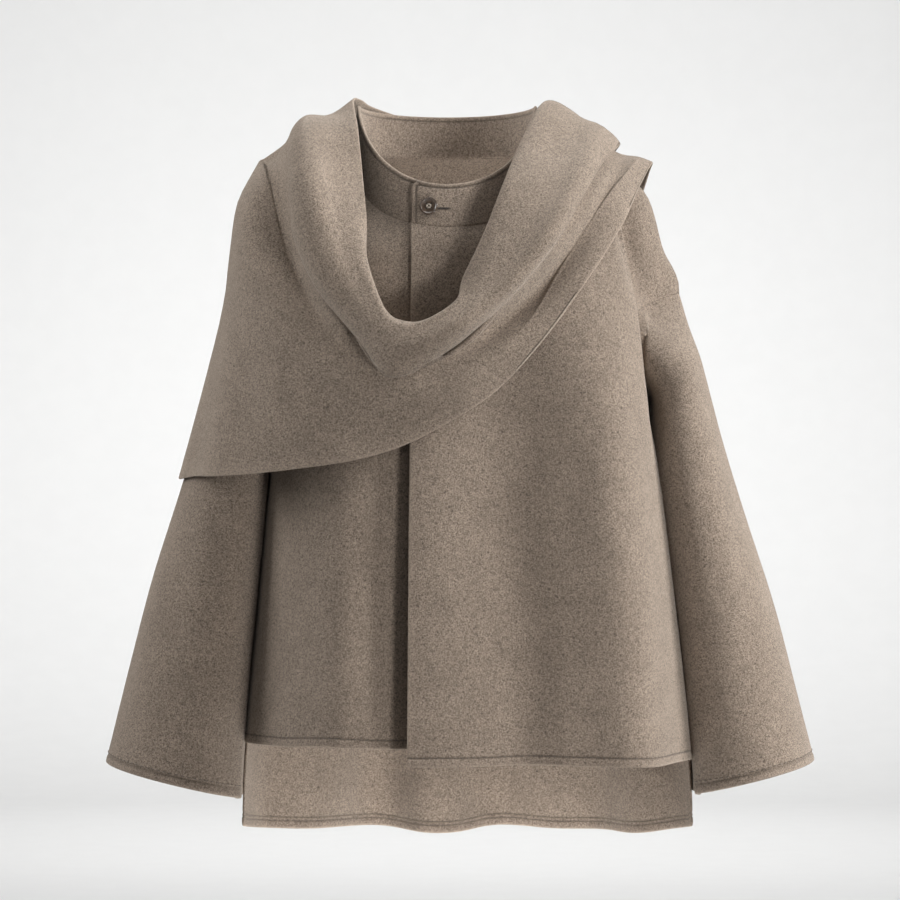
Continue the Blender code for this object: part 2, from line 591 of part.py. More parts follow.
def make_button(material):
    """Dished button with a rim and four holes, on the collar's lapped end."""
    profile = (
        (0.0, -BUTTON_THICKNESS / 2),
        (BUTTON_RADIUS - 1.2, -BUTTON_THICKNESS / 2),
        (BUTTON_RADIUS, -0.2),
        (BUTTON_RADIUS - 0.4, BUTTON_THICKNESS / 2 - 0.3),
        (BUTTON_RADIUS - BUTTON_RIM / 2, BUTTON_THICKNESS / 2),
        (BUTTON_RADIUS - BUTTON_RIM, BUTTON_THICKNESS / 2 - 0.3),
        (BUTTON_RADIUS - BUTTON_RIM - 1.0, BUTTON_THICKNESS / 2 - BUTTON_DISH),
        (0.0, BUTTON_THICKNESS / 2 - BUTTON_DISH),
    )
    work = bmesh.new()
    corners = [work.verts.new((radius * MM, 0, height * MM)) for radius, height in profile]
    edges = [work.edges.new(pair) for pair in zip(corners, corners[1:])]
    bmesh.ops.spin(work, geom=corners + edges, cent=(0, 0, 0), axis=(0, 0, 1),
                   angle=math.tau, steps=28, use_duplicate=False)
    bmesh.ops.remove_doubles(work, verts=work.verts, dist=1e-6)
    bmesh.ops.recalc_face_normals(work, faces=work.faces)
    mesh = bpy.data.meshes.new("button")
    work.to_mesh(mesh)
    work.free()
    mesh.materials.append(material)
    item = bpy.data.objects.new("button", mesh)
    bpy.context.scene.collection.objects.link(item)
    work = bmesh.new()
    for turn in range(4):
        angle = math.radians(45 + 90 * turn)
        place = Matrix.Translation((BUTTON_HOLE_SPACING * MM * math.cos(angle),
                                    BUTTON_HOLE_SPACING * MM * math.sin(angle), 0))
        bmesh.ops.create_cone(work, cap_ends=True, segments=10,
                              radius1=BUTTON_HOLE_RADIUS * MM, radius2=BUTTON_HOLE_RADIUS * MM,
                              depth=3 * BUTTON_THICKNESS * MM, matrix=place)
    cutter_mesh = bpy.data.meshes.new("button_holes")
    work.to_mesh(cutter_mesh)
    work.free()
    cutter = bpy.data.objects.new("button_holes", cutter_mesh)
    bpy.context.scene.collection.objects.link(cutter)
    cutter.hide_render = True
    cutter.display_type = "WIRE"
    cut = item.modifiers.new("holes", "BOOLEAN")
    cut.operation = "DIFFERENCE"
    cut.object = cutter
    angle = np.degrees(np.arcsin(np.array(BUTTON_X / BODY_RINGS[-1][4]))) - 360
    height = np.array(BUTTON_HEIGHT_ON_COLLAR)
    seat = collar_surface(angle, height)
    up = collar_surface(angle, height + 0.2) - seat
    along = collar_surface(angle + 2, height) - collar_surface(angle - 2, height)
    normal = Vector(np.cross(along, up)).normalized()
    turn = normal.to_track_quat("Z", "Y")
    stand = COLLAR_CLOTH / 2 + SEAM + BUTTON_THICKNESS / 2
    for piece in (item, cutter):
        piece.rotation_mode = "QUATERNION"
        piece.rotation_quaternion = turn
        piece.location = (Vector(seat) + normal * stand) * MM
    return item


def clear_scene():
    """Remove every object that is in the scene."""
    for item in list(bpy.data.objects):
        bpy.data.objects.remove(item)


def main():
    clear_scene()
    wool = make_material("wool", (0.235, 0.195, 0.155), 0.9)
    shawl_wool = make_material("shawl_wool", (0.26, 0.215, 0.172), 0.9)
    horn = make_material("horn", (0.075, 0.045, 0.028), 0.4)
    garment = {
        "back": wall_mesh(*back_panel(), CLOTH),
        "front_left": wall_mesh(*front_panel(-1), CLOTH),
        "front_right": wall_mesh(*front_panel(1), CLOTH),
        "sleeve_left": wall_mesh(*sleeve(SLEEVE_LEFT, -1), CLOTH, closed=True),
        "sleeve_right": wall_mesh(*sleeve(SLEEVE_RIGHT, 1), CLOTH, closed=True),
        "collar": wall_mesh(*collar(), COLLAR_CLOTH),
    }
    for name, (verts, faces) in garment.items():
        make_object(name, verts, faces, wool)
    grid = lift_clear(shawl_grid(), surface_tree(garment.values()), SHAWL_CLEARANCE)
    normals = grid_normals(grid, closed=False)
    left = SHAWL_SPLIT_LEFT * SHAWL_STEPS
    right = SHAWL_SPLIT_RIGHT * SHAWL_STEPS
    stretches = {
        "shawl_back": (None, left),
        "shawl_front": (left, right),
        "shawl_tail": (right, None),
    }
    for name, (first, last) in stretches.items():
        rows = slice(first, None if last is None else last + 1)
        piece = part_at_seams(grid[rows], first is not None, last is not None)
        make_object(name, *wall_mesh(piece, normals[rows], CLOTH), shawl_wool)
    make_button(horn)


main()
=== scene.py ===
"""Wool cape coat with a stand collar, wide sleeves and a draped shawl, dressed for its render.

The tables hold the coat's own forms, in millimetres and degrees, as the CAD source has them.
+Z is up and the front faces -Y.  Left and right are those of someone who looks at the front.
Run as a script it adds every piece in turn; the sidebar of the 3D view lists the same steps.
"""
import json
import math

import bmesh
import bpy
import numpy as np
from bpy.props import FloatProperty, FloatVectorProperty, PointerProperty
from bpy.types import Operator, Panel, PropertyGroup
from mathutils import Matrix, Vector
from mathutils.bvhtree import BVHTree
from mathutils.kdtree import KDTree

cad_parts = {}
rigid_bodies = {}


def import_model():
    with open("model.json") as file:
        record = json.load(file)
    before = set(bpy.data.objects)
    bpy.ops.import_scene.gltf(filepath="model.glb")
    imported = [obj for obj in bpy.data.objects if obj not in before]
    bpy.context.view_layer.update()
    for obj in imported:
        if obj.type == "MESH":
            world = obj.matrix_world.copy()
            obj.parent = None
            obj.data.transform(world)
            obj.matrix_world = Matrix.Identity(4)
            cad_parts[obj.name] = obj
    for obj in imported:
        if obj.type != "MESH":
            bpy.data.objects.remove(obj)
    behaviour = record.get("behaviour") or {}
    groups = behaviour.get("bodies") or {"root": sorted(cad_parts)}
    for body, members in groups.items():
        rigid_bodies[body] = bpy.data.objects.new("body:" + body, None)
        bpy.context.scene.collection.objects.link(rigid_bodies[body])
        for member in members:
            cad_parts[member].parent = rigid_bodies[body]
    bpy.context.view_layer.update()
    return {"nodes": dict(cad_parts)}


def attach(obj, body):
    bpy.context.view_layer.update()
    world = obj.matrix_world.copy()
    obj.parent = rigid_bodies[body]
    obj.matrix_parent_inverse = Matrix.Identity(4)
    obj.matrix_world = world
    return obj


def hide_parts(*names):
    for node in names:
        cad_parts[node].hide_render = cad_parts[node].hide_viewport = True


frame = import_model()

bl_info = {
    "name": "Wool Cape Coat",
    "version": (1, 0, 0),
    "blender": (4, 5, 0),
    "location": "3D View > Sidebar > Cape Coat",
    "description": "Makes a wool cape coat with a draped shawl, its button and a studio",
    "category": "Object",
}

MM = 0.001

# Cloth and seams
CLOTH = 2.2                  # wall of the body, the sleeves and the shawl
COLLAR_CLOTH = 2.6           # wall of the stand collar
SEAM = 0.02                  # gap between pieces that are sewn together
SHAWL_CLEARANCE = 5.2        # middle of the shawl's wall above the cloth that it lies on
SHAWL_REST = 2.7             # the same once its creases are pressed in

# Body
SEAM_ANGLE = 100.0           # side and shoulder seams, measured round from centre front
FRONT_EDGE_RIGHT = -37.0     # x of the overlapping front's edge at the hem
FRONT_EDGE_NECK = -33.0      # x of the same edge at the collar
UNDERLAP_X = 28.0            # x of the hidden edge of the front beneath
OVERLAP_STEP = 3.2           # how far the overlapping front lies outside the other
OVERLAP_FADE = (60.0, 40.0)  # angle where that step ends and the degrees over which it fades
UNDERLAP_SINK = 13.0         # how far the front beneath falls back at the hem
UNDERLAP_FADE = (-34.0, 30.0)     # angle where that sinking begins, and over how many degrees
BODY_MIDDLE = (10.0, 5.0, 0.0)    # on the upright line that the cloth faces away from
HEM_FRONT_LEFT = -548.0
HEM_FRONT_RIGHT = -564.0
HEM_BACK_SIDE = -627.0
HEM_BACK_MIDDLE = -651.0

# Armholes, in ring numbers of BODY_RINGS and in degrees round from the seam
ARMHOLE_BOTTOM = 4.0
ARMHOLE_TOP = 5.0
ARMHOLE_MIDDLE = (ARMHOLE_TOP + ARMHOLE_BOTTOM) / 2
ARMHOLE_REACH = (ARMHOLE_TOP - ARMHOLE_BOTTOM) / 2
ARMHOLE_TO_FRONT = 15.0
ARMHOLE_TO_BACK = 25.0
ARMHOLE_TAPER = 1.6          # 1 is an oval, more is narrower towards its top and bottom
FOLD_START = 35.0            # where the front begins to stand out towards its side fold
FOLD_ANGLE = 68.0            # side fold, where the front turns back towards the arm
VALLEY_ANGLE = 81.0          # bottom of the crevice between the fold and the arm
ARM_ANGLE = 102.0            # middle of the bulge over the top of the arm
ARM_END = 135.0              # where the bulge has run out in the back

# Collar
COLLAR_TOP_HALF_WIDTH = 88.0
COLLAR_TOP_FRONT_DEPTH = 85.0
COLLAR_TOP_BACK_DEPTH = 77.0
COLLAR_TOP_FRONT_Z = 2.0
COLLAR_TOP_SIDE_Z = 86.0
COLLAR_TOP_BACK_Z = 81.0
COLLAR_CORNER = 11.0         # radius of the lapped end's upper corner
COLLAR_HEIGHT = 43.0
COLLAR_SEAM = -1.6           # gap to the neck's edge at front and back, a lap below 0
COLLAR_SIDE_SEAM = 0.1       # the same over the shoulders
COLLAR_LAP_FADE = (-300.0, 40.0)  # angle where the lapped end's step begins, over how many degrees

# Button
BUTTON_RADIUS = 9.0
BUTTON_THICKNESS = 3.2
BUTTON_DISH = 1.2            # depth of the dish in its face
BUTTON_HOLE_RADIUS = 1.25
BUTTON_HOLE_SPACING = 3.1    # from the middle of the button to the middle of a hole
BUTTON_ROUNDING = 0.18       # of the holes' edges
BUTTON_X = -17.0
BUTTON_HEIGHT_ON_COLLAR = 0.44    # 0 at the collar's lower edge, 1 at its upper edge
BUTTON_DISH_MIDDLE = 0.45    # height of the dish's middle over the button's middle

# Half section of the button from its back to its dish, round the rim.  Columns: distance in
# from the rim, height over the button's middle.
BUTTON_SECTION = (
    (1.6, -1.6), (0.7, -1.1), (0.12, -0.35), (0.0, 0.15), (0.1, 0.7), (0.4, 1.35),
    (0.85, 1.6), (1.3, 1.48), (1.75, 1.1), (2.3, 0.75), (3.2, 0.4), (5.0, 0.35),
)

# Thread of the button
STRAND_RADIUS = 0.4
STRAND_OFFSET = 0.36         # of each of two strands from the middle of the pair
STRAND_INSET = 0.55          # how far the pair lies inside the middles of its holes
STRAND_RISE = 0.8            # how high a strand arches
STRAND_SINK = 0.4            # how deep its ends go below the dish

# Rings of the body from the lowest to the neck.  Columns: height at the front, side and back,
# middle in x, half width, depth to the front and the back, squareness of the ring, how far the
# arm bulges out at the side, how deep the crevice before the arm is, how far the front's fold
# stands out before the crevice.
BODY_RINGS = (
    (-655, -655, -655, 22.0, 230, 150, 152, 2.30, 0, 0, 0),
    (-561, -561, -561, 22.0, 226, 143, 147, 2.30, 0, 0, 0),
    (-420, -420, -420, 20.5, 210, 133, 139, 2.40, 0, 0, 0),
    (-290, -290, -290, 18.0, 194, 125, 133, 2.50, 0, 0, 1),
    (-212, -212, -212, 17.0, 183, 119, 129, 2.60, 2, 4, 5),
    (-150, -100, -118, 14.0, 172, 116, 126, 2.70, 48, 23, 10),
    (-112, -50, -72, 11.0, 168, 113, 122, 2.70, 41, 23, 9),
    (-88, 4, -22, 8.0, 164, 110, 116, 2.60, 31, 14, 8),
    (-69, 24, 12, 5.0, 154, 107, 106, 2.40, 8, 3, 2),
    (-53, 31, 30, 3.0, 124, 103, 92, 2.15, 0, 0, 0),
    (-39, 34, 40, 1.0, 93, 97, 78, 2.00, 0, 0, 0),
)
NECK_RING = len(BODY_RINGS) - 1

# Soft upright folds of the body.  Columns: angle round from centre front, spread in degrees,
# how far the cloth stands out at the hem (less than 0 falls back), ring where the fold ends.
FRONT_FOLDS = (
    (47, 14, 4.0, 5.0),
    (18, 11, 7.0, 5.0),
    (-4, 8, -3.0, 4.5),
    (-38, 13, 4.0, 4.5),
    (-62, 14, -4.0, 5.0),
)
BACK_FOLDS = (
    (127, 14, -12.0, 4.5),
    (150, 11, 9.0, 4.0),
    (167, 9, 13.0, 3.5),
    (184, 9, -13.0, 4.0),
    (200, 10, 12.0, 3.5),
    (226, 14, -12.0, 4.5),
    (243, 9, 4.0, 3.5),
)

# Sections of the sleeves from the armhole to the cuff.  Columns: distance along the sleeve
# (0 to 1), x and z of the outer side, x and z of the inner side, middle in y, half depth.
SLEEVE_RIGHT = (
    (0.00, 233, -97, 199, -210, 24, 60),
    (0.06, 237, -112, 205, -214, 24, 62),
    (0.16, 249, -148, 205, -232, 24, 66),
    (0.34, 269, -216, 203, -286, 22, 72),
    (0.56, 299, -322, 212, -374, 20, 78),
    (0.78, 334, -441, 222, -474, 18, 84),
    (1.00, 368, -568, 230, -602, 16, 90),
)
SLEEVE_LEFT = (
    (0.00, -208, -97, -166, -210, 24, 60),
    (0.06, -212, -112, -172, -214, 24, 62),
    (0.16, -224, -148, -170, -232, 24, 66),
    (0.34, -243, -216, -167, -286, 22, 72),
    (0.56, -273, -322, -175, -374, 20, 78),
    (0.78, -307, -441, -184, -474, 18, 84),
    (1.00, -340, -570, -190, -606, 16, 90),
)
SLEEVE_SQUARENESS = 2.2
SLEEVE_SETTLE = 0.22         # length over which the armhole's form fades into the sleeve's
SLEEVE_BODY_GAP = 3.4        # between the middles of the sleeve's and the body's walls
SLEEVE_CLEAR = 0.05          # length over which the sleeve moves out to that gap
ARMPIT_GAP = 1.0             # extra room at the armpit

# Sections of the shawl, from its start at the back, over the left shoulder, across the chest,
# over the right shoulder and down the back.  Columns: x, y and z of the outer edge, of the
# point where the cloth starts to hang, of the fold under the roll, of the roll's crest and of
# the inner edge; then how far the cloth is tucked in under the roll and how far the roll
# stands out between fold and crest.
SHAWL = (
    (-14, 152, -235, -13, 133, -90, -12, 112, 0, -11, 97, 48, -10, 91, 74, 0, 2),
    (-118, 142, -262, -100, 122, -75, -76, 100, 10, -55, 84, 56, -47, 79, 82, 0, 3),
    (-212, 108, -283, -170, 86, -50, -124, 64, 26, -90, 52, 66, -76, 50, 90, 0, 4),
    (-247, 78, -287, -186, 52, -4, -142, 38, 44, -104, 30, 72, -84, 30, 94, 0, 4),
    (-264, 24, -284, -190, 14, 28, -152, 10, 56, -118, 6, 75, -92, 6, 92, 0, 4),
    (-237, -68, -284, -184, -46, 10, -150, -50, 32, -122, -48, 55, -87, -42, 60, 0.5, 6),
    (-188, -106, -281, -165, -92, -70, -138, -88, -14, -112, -95, -4, -82, -70, 14, 1.5, 8),
    (-142, -124, -276, -132, -118, -120, -124, -112, -70, -92, -124, -52, -78, -100, -28, 3, 8),
    (-94, -132, -269, -94, -134, -178, -102, -126, -124, -72, -143, -99, -76, -112, -86, 4, 7),
    (-52, -132, -258, -56, -138, -198, -66, -150, -181, -53, -154, -132, -58, -116, -142, 5, 7),
    (-13, -131, -240, -18, -138, -196, -30, -152, -180, -26, -158, -136, -16, -116, -150, 5, 8),
    (46, -128, -202, 34, -137, -178, 22, -150, -156, 9, -154, -116, 28, -116, -122, 5, 9),
    (94, -123, -150, 80, -130, -132, 66, -144, -104, 17, -138, -92, 42, -114, -96, 5, 9),
    (138, -112, -90, 120, -120, -72, 106, -134, -54, 37, -126, -50, 54, -105, -46, 5, 7),
    (169, -86, -41, 152, -96, -22, 130, -106, -13, 56, -108, -1, 66, -88, 4, 5, 5),
    (187, -50, -4, 174, -58, 12, 152, -66, 24, 71, -72, 36, 76, -56, 30, 5, 4),
    (206, -6, 28, 192, -8, 34, 174, -8, 48, 96, -10, 94, 94, -4, 68, 5, 0),
    (203, 52, 14, 188, 54, 24, 168, 52, 42, 98, 46, 92, 88, 42, 72, 3.5, 2),
    (194, 98, -24, 176, 100, -10, 152, 96, 14, 82, 84, 68, 66, 74, 62, 2.4, 3),
    (187, 128, -86, 164, 130, -70, 138, 128, -48, 66, 108, 4, 44, 98, 4, 1.6, 4),
    (183, 142, -170, 156, 146, -162, 128, 142, -150, 64, 130, -112, 28, 126, -108, 1, 4),
    (176, 146, -262, 150, 150, -262, 120, 148, -260, 66, 142, -252, 24, 138, -248, 0.5, 4),
)
SHAWL_CORE = (10.0, 5.0, -150.0)
SHAWL_SWING = 0.8            # how freely the cloth curves between its lines
SHAWL_HANG = 0.45            # place of the line between its outer edge and where it hangs
SHAWL_UNDER = 0.35           # how far an open fold moves towards the hanging cloth
TUCK_DEPTH = 1.7             # how deep the tuck lies for each millimetre that it goes in
TUCK_FULL = 4.0              # tuck from which the cloth doubles back on itself
SHAWL_STEPS = 3              # steps from one section to the next
SHAWL_ACROSS = (2, 3, 3, 2, 2, 3, 3)    # steps between the shawl's neighbouring lines

# Distances from an edge at which the cloth gets a row of points of its own
PLAIN_EDGE = (0.0, 0.35, 0.8, 1.8)
HEM_EDGE = (0.0, 0.4, 1.0, 2.4, 4.6, 6.6, 7.8, 8.6, 9.4, 10.2, 11.4, 13.5)
PIPED_EDGE = (0.0, 0.4, 1.0, 2.0, 3.1, 3.9, 4.5, 5.1, 5.9, 7.4)
HEM_LINE = 8.6               # stitched line above a hem
BACK_HEM_EDGE = (0.0, 0.4, 1.0, 2.4, 4.4, 6.2, 7.2, 8.0, 8.8, 9.8, 10.8, 11.8, 12.8, 13.8, 15.6)
BACK_HEM_LINES = (8.0, 11.8)  # the back's hem has two stitched lines
PIPED_LINE = 4.5             # stitched line under the collar's rolled edge
EDGE_ROUND = 1.3             # distance over which an edge rounds off
EDGE_HIGHLIGHT_REACH = 1.9              # distance over which a free edge gets its painted highlight
EDGE_PUFF = 0.4              # how far the cloth swells between an edge and its stitched line
GROOVE_DEPTH = 0.6           # of a stitched line
GROOVE_WIDTH = 0.95          # half width of its hollow
GROOVE_SHADE = 0.9           # half width of the painted shade along it

# Points of the panels' grids
FRONT_STEPS = (24, 22, 8, 12)     # columns from the front edge over fold and valley to the seam
BACK_STEPS = (116,)               # columns from seam to seam
BODY_ROWS = (76, 40, 30)          # rows below, beside and above the armholes
SLEEVE_COLUMNS = 100
SLEEVE_ROWS = 96
COLLAR_COLUMNS = 260
COLLAR_ROWS = 19
SHAWL_FINER = (5, 4)              # finer steps for each coarse one, along and across
CREASE_STEPS = 24                 # straight parts that stand for a crease's curve

# Unevenness of the hanging cloth, and of the stiffer collar
RIPPLE = 0.5
COLLAR_RIPPLE = 0.35

# Soft creases.  Columns: x and z of the start, the middle and the end, half width, how far the
# cloth stands out (less than 0 is a trough), 1 where it lies on the front and -1 on the back.
SHAWL_CREASES = (
    (-176, 60, -188, -80, -74, -174, 22, -20.0, 1),
    (-138, 90, -140, -60, -88, -150, 18, 22.0, 1),
    (152, 70, 98, -108, -30, -158, 9, 8.0, 1),
    (180, 44, 124, -116, -16, -178, 11, -14.0, 1),
    (196, 20, 160, -120, 30, -206, 16, 5.0, 1),
    (12, -106, 20, -78, 54, -43, 6, -2.0, 1),
    (-70, -200, -10, -220, 50, -186, 20, 3.5, 1),
    (-205, -110, -200, -190, -206, -300, 20, -3.0, 1),
    (-150, -150, -130, -215, -60, -258, 16, -2.5, 1),
    (-120, 40, -92, -60, -70, -190, 15, -4.0, -1),
    (-40, 30, -52, -80, -36, -260, 15, 3.2, -1),
    (96, 60, 104, -60, 92, -220, 14, -3.2, -1),
    (150, 10, 148, -90, 160, -280, 15, 3.0, -1),
)
RIGHT_FRONT_CREASES = (
    (52, -100, 80, -420, 92, -1000, 56, -24.0, 1),
    (148, -110, 178, -420, 202, -1000, 32, 20.0, 1),
    (162, 40, 181, -36, 190, -100, 8, -16.0, 1),
    (52, -380, 46, -480, 56, -600, 14, 1.6, 1),
    (170, -300, 176, -400, 168, -520, 12, -1.6, 1),
)
LEFT_FRONT_CREASES = (
    (6, -90, 4, -420, 2, -1000, 48, -15.0, 1),
    (-46, -200, -46, -480, -48, -1000, 25, -7.0, 1),
    (-98, -200, -102, -480, -106, -1000, 27, 9.0, 1),
    (-180, -280, -182, -420, -180, -1000, 20, -3.0, 1),
)
BACK_CREASES = (
    (-71, -430, -71, -560, -71, -860, 25, 11.0, -1),
    (-16, -430, -16, -560, -16, -860, 25, -11.0, -1),
    (44, -430, 44, -560, 44, -860, 26, 12.0, -1),
    (120, -430, 120, -560, 120, -860, 46, -6.0, -1),
    (188, -430, 188, -560, 188, -860, 24, -6.0, -1),
    (-30, -250, -16, -400, -34, -560, 17, -2.4, -1),
    (90, -300, 98, -430, 84, -600, 15, -2.2, -1),
    (-130, -260, -138, -380, -126, -520, 15, 2.0, -1),
    (164, -280, 158, -420, 170, -590, 14, -1.8, -1),
)
SLEEVE_CREASES = (
    (262, -190, 296, -330, 306, -520, 15, -2.4, 1),
    (230, -240, 246, -330, 262, -420, 11, 1.6, 1),
    (300, -260, 322, -380, 344, -540, 13, 1.6, 1),
    (-234, -200, -262, -330, -272, -540, 15, -2.2, 1),
    (-200, -260, -212, -340, -214, -440, 11, 1.6, 1),
    (-270, -300, -292, -400, -312, -540, 12, 1.4, 1),
    (250, -180, 280, -320, 286, -540, 15, -2.2, -1),
    (300, -240, 316, -360, 340, -520, 12, 1.8, -1),
    (-220, -190, -250, -320, -252, -540, 15, -2.2, -1),
    (-276, -260, -290, -380, -316, -520, 12, 1.8, -1),
)

# Places where the cloth is pressed or drawn.  Columns: x, y and z of the middle, reach, then
# how far the cloth moves in x, y and z.
SHAWL_PUSHES = (
    (97, 10, 96, 30, 5.0, 0.0, -8.0),
)
RIGHT_FRONT_PUSHES = (
    (84, -140, -566, 42, 0.0, 0.0, 3.0),
    (190, -115, -566, 38, 0.0, 0.0, -3.0),
    (234, 40, -108, 28, 4.0, 0.0, 2.0),
)
LEFT_FRONT_PUSHES = (
    (-120, -130, -550, 40, 0.0, 0.0, 2.0),
)
BACK_PUSHES = (
    (-2, 150, -651, 34, 0.0, 0.0, -3.0),
    (70, 140, -650, 30, 0.0, 0.0, 4.0),
    (196, 90, -640, 36, 0.0, 0.0, -4.0),
    (-110, 140, -645, 40, 0.0, 0.0, 2.0),
    (234, 40, -108, 28, 4.0, 0.0, 2.0),
)
SLEEVE_PUSHES = (
    (234, 40, -108, 28, 4.0, 0.0, 2.0),
)

# Stitches.  Columns: length of a stitch, gap to the next one, radius of the thread.
HEM_STITCH = (4.2, 1.9, 0.42)
COLLAR_STITCH = (3.0, 1.5, 0.34)
BUTTONHOLE_STITCH = (0.9, 0.15, 0.36)
# The last row is a dark strip of painted shadow in the buttonhole's slit.
BUTTONHOLE_SLIT_SHADOW = (11.0, 0.4, 0.5)

# Form of one stitch.  Columns: place along it, share of the thread's radius, height.
STITCH_RINGS = (
    (0.0, 0.25, -0.20), (0.1, 0.85, 0.05), (0.35, 1.0, 0.28),
    (0.65, 1.0, 0.28), (0.9, 0.85, 0.05), (1.0, 0.25, -0.20),
)

# Buttonhole beside the button
BUTTONHOLE_ENDS = (-9.0, 3.0)     # x of both ends
BUTTONHOLE_HEIGHT = 0.42          # 0 at the collar's lower edge, 1 at its upper edge
BUTTONHOLE_HALF = 0.75            # half its width
# Colour of the dark strip of painted shadow in the buttonhole's slit.
SLIT_SHADOW_COLOUR = (0.02, 0.015, 0.012)

# Camera and studio, in metres
CAMERA_PLACE = (0.004, -4.0, -0.258)
CAMERA_LENS = 160.0
CAMERA_SENSOR = 36.0
CAMERA_REACH = 50.0
FLOOR_Z = -1.0
FLOOR_REACH = 4.5            # flat part of the floor, from the middle
SWEEP_CURVE = 2.0            # radius of the curve from the floor to the backdrop
SWEEP_STEPS = 12             # steps of that curve
SWEEP_TOP = 6.0
CHEST = (0.0, 0.0, -0.3)     # where the lights look

# Soft lights.  Columns: name, place, where it looks, width and height, the setting of its
# power, share of that setting.
LIGHTS = (
    ("right_side_light", (2.75, -0.5, 1.4), CHEST, (1.2, 1.6), "side_light", 1.0),
    ("left_side_light", (-2.8, 0.0, 1.1), CHEST, (1.2, 2.0), "side_light", 0.5),
    ("front_light", (0.6, -4.4, 1.0), CHEST, (1.6, 1.6), "front_light", 1.0),
    ("top_light", (0.0, 0.1, 2.8), CHEST, (2.0, 1.6), "top_light", 1.0),
    ("back_light", (0.0, 3.4, 1.6), CHEST, (2.6, 2.0), "front_light", 1.0),
    ("low_light", (1.2, -1.7, -0.9), (0.0, 0.15, -0.62), (0.5, 0.14), "low_light", 1.0),
    ("hem_light", (0.0, -0.01, -0.86), (0.0, 0.15, -0.61), (0.40, 0.06), "hem_light", 1.0),
    ("neck_light", (0.0, -0.04, -0.30), (0.02, 0.08, 0.02), (0.12, 0.08), "neck_light", 1.0),
)

# Lights in a ring that look outwards at the backdrop
BACKDROP_LIGHTS = 6
BACKDROP_RING = (1.6, 2.2)        # distance from the middle and height
BACKDROP_TARGET = (6.5, -0.4)     # the same of the place where each one looks
BACKDROP_SIZE = (1.6, 1.2)
BACKDROP_SPREAD = 95.0            # degrees


def hermite(t, first, last, first_slope, last_slope, step=1.0):
    """Cubic curve between two values with a slope at each of them."""
    return ((2 * t**3 - 3 * t**2 + 1) * first + (t**3 - 2 * t**2 + t) * step * first_slope
            + (3 * t**2 - 2 * t**3) * last + (t**3 - t**2) * step * last_slope)


def spline(knots, values, at, swing=1.0):
    """Smooth curve through values at rising knots; less swing keeps it nearer straight."""
    knots = np.asarray(knots, float)
    values = np.asarray(values, float)
    at = np.clip(np.asarray(at, float), knots[0], knots[-1])
    slopes = swing * np.gradient(values, knots, axis=0)
    i = np.clip(np.searchsorted(knots, at, side="right") - 1, 0, len(knots) - 2)
    step = knots[i + 1] - knots[i]
    t = (at - knots[i]) / step
    extra = (1,) * (values.ndim - 1)
    t = t.reshape(t.shape + extra)
    step = step.reshape(step.shape + extra)
    return hermite(t, values[i], values[i + 1], slopes[i], slopes[i + 1], step)


def unit(vectors):
    """Vectors of length one."""
    return vectors / np.linalg.norm(vectors, axis=-1, keepdims=True)


def ease(t):
    """Smooth rise from 0 to 1."""
    t = np.clip(t, 0.0, 1.0)
    return t * t * (3 - 2 * t)


def lean(cosine, hollow=0.5):
    """Rise of a tilted ring from its side (0) to its front or back (1)."""
    soft = 0.15
    rise = (np.sqrt(cosine**2 + soft**2) - soft) / (math.sqrt(1 + soft**2) - soft)
    return rise * (1 + hollow - hollow * rise)


def fold_depth(angle, ring, folds):
    """How far the upright folds push the body's cloth out at an angle and ring number."""
    depth = 0.0
    for middle, spread, height, end in folds:
        fade = np.clip((end - ring) / end, 0.0, 1.0) ** 1.5
        depth = depth + height * fade * np.exp(-(((angle - middle) / spread) ** 2))
    return depth


def side_form(reach, bulge, valley, fold):
    """How far the side stands out: the front's fold, the crevice behind it and the arm."""
    rise = fold * ease((reach - FOLD_START) / (FOLD_ANGLE - FOLD_START))
    drop = (fold + valley) * ease((reach - FOLD_ANGLE) / (VALLEY_ANGLE - FOLD_ANGLE))
    arm = (valley + bulge) * ease((reach - VALLEY_ANGLE) / (ARM_ANGLE - VALLEY_ANGLE))
    fade = bulge * ease((reach - ARM_ANGLE) / (ARM_END - ARM_ANGLE))
    return rise - drop + arm - fade


def ring_rows(ring):
    """Values of the table of body rings at a ring number."""
    return spline(range(len(BODY_RINGS)), BODY_RINGS, ring)


def body_point(angle, ring, out=0.0):
    """Point on the body's cloth; angle 0 is centre front, 90 the right side."""
    angle, ring, out = np.broadcast_arrays(angle, ring, out)
    rows = ring_rows(ring)
    front_z, side_z, back_z, middle, half, front, back, square, bulge, valley, fold = np.moveaxis(
        rows, -1, 0)
    sine = np.sin(np.radians(angle))
    cosine = np.cos(np.radians(angle))
    reach = np.minimum(angle % 360, 360 - angle % 360)
    half = half + out + side_form(reach, bulge, valley, fold)
    depth = np.where(cosine > 0, front, back) + out
    x = middle + half * np.sign(sine) * np.abs(sine) ** (2 / square)
    y = -depth * np.sign(cosine) * np.abs(cosine) ** (2 / square)
    end_z = np.where(cosine > 0, front_z, back_z)
    z = side_z + (end_z - side_z) * lean(np.abs(cosine))
    return np.stack([x, y, z], axis=-1)


def ring_at(height):
    """Ring number of a height on the level rings below the armpit."""
    count = int(ARMHOLE_BOTTOM) + 1
    numbers = np.linspace(0, count - 1, 200)
    heights = spline(range(len(BODY_RINGS)), [row[1] for row in BODY_RINGS], numbers)
    return np.interp(height, heights, numbers)


def front_surface(angle, ring, side):
    """Point on a front panel's cloth; side 1 overlaps and side -1 lies beneath."""
    out = fold_depth(angle, ring, FRONT_FOLDS)
    if side > 0:
        end, length = OVERLAP_FADE
        return body_point(angle, ring, out + OVERLAP_STEP * ease((end - angle) / length))
    start, length = UNDERLAP_FADE
    low = np.clip((ARMHOLE_TOP - ring) / ARMHOLE_TOP, 0, 1)
    return body_point(angle, ring, out - UNDERLAP_SINK * low * ease((angle - start) / length))


def back_surface(angle, ring):
    """Point on the back panel's cloth."""
    angle = angle % 360
    return body_point(angle, ring, fold_depth(angle, ring, BACK_FOLDS))


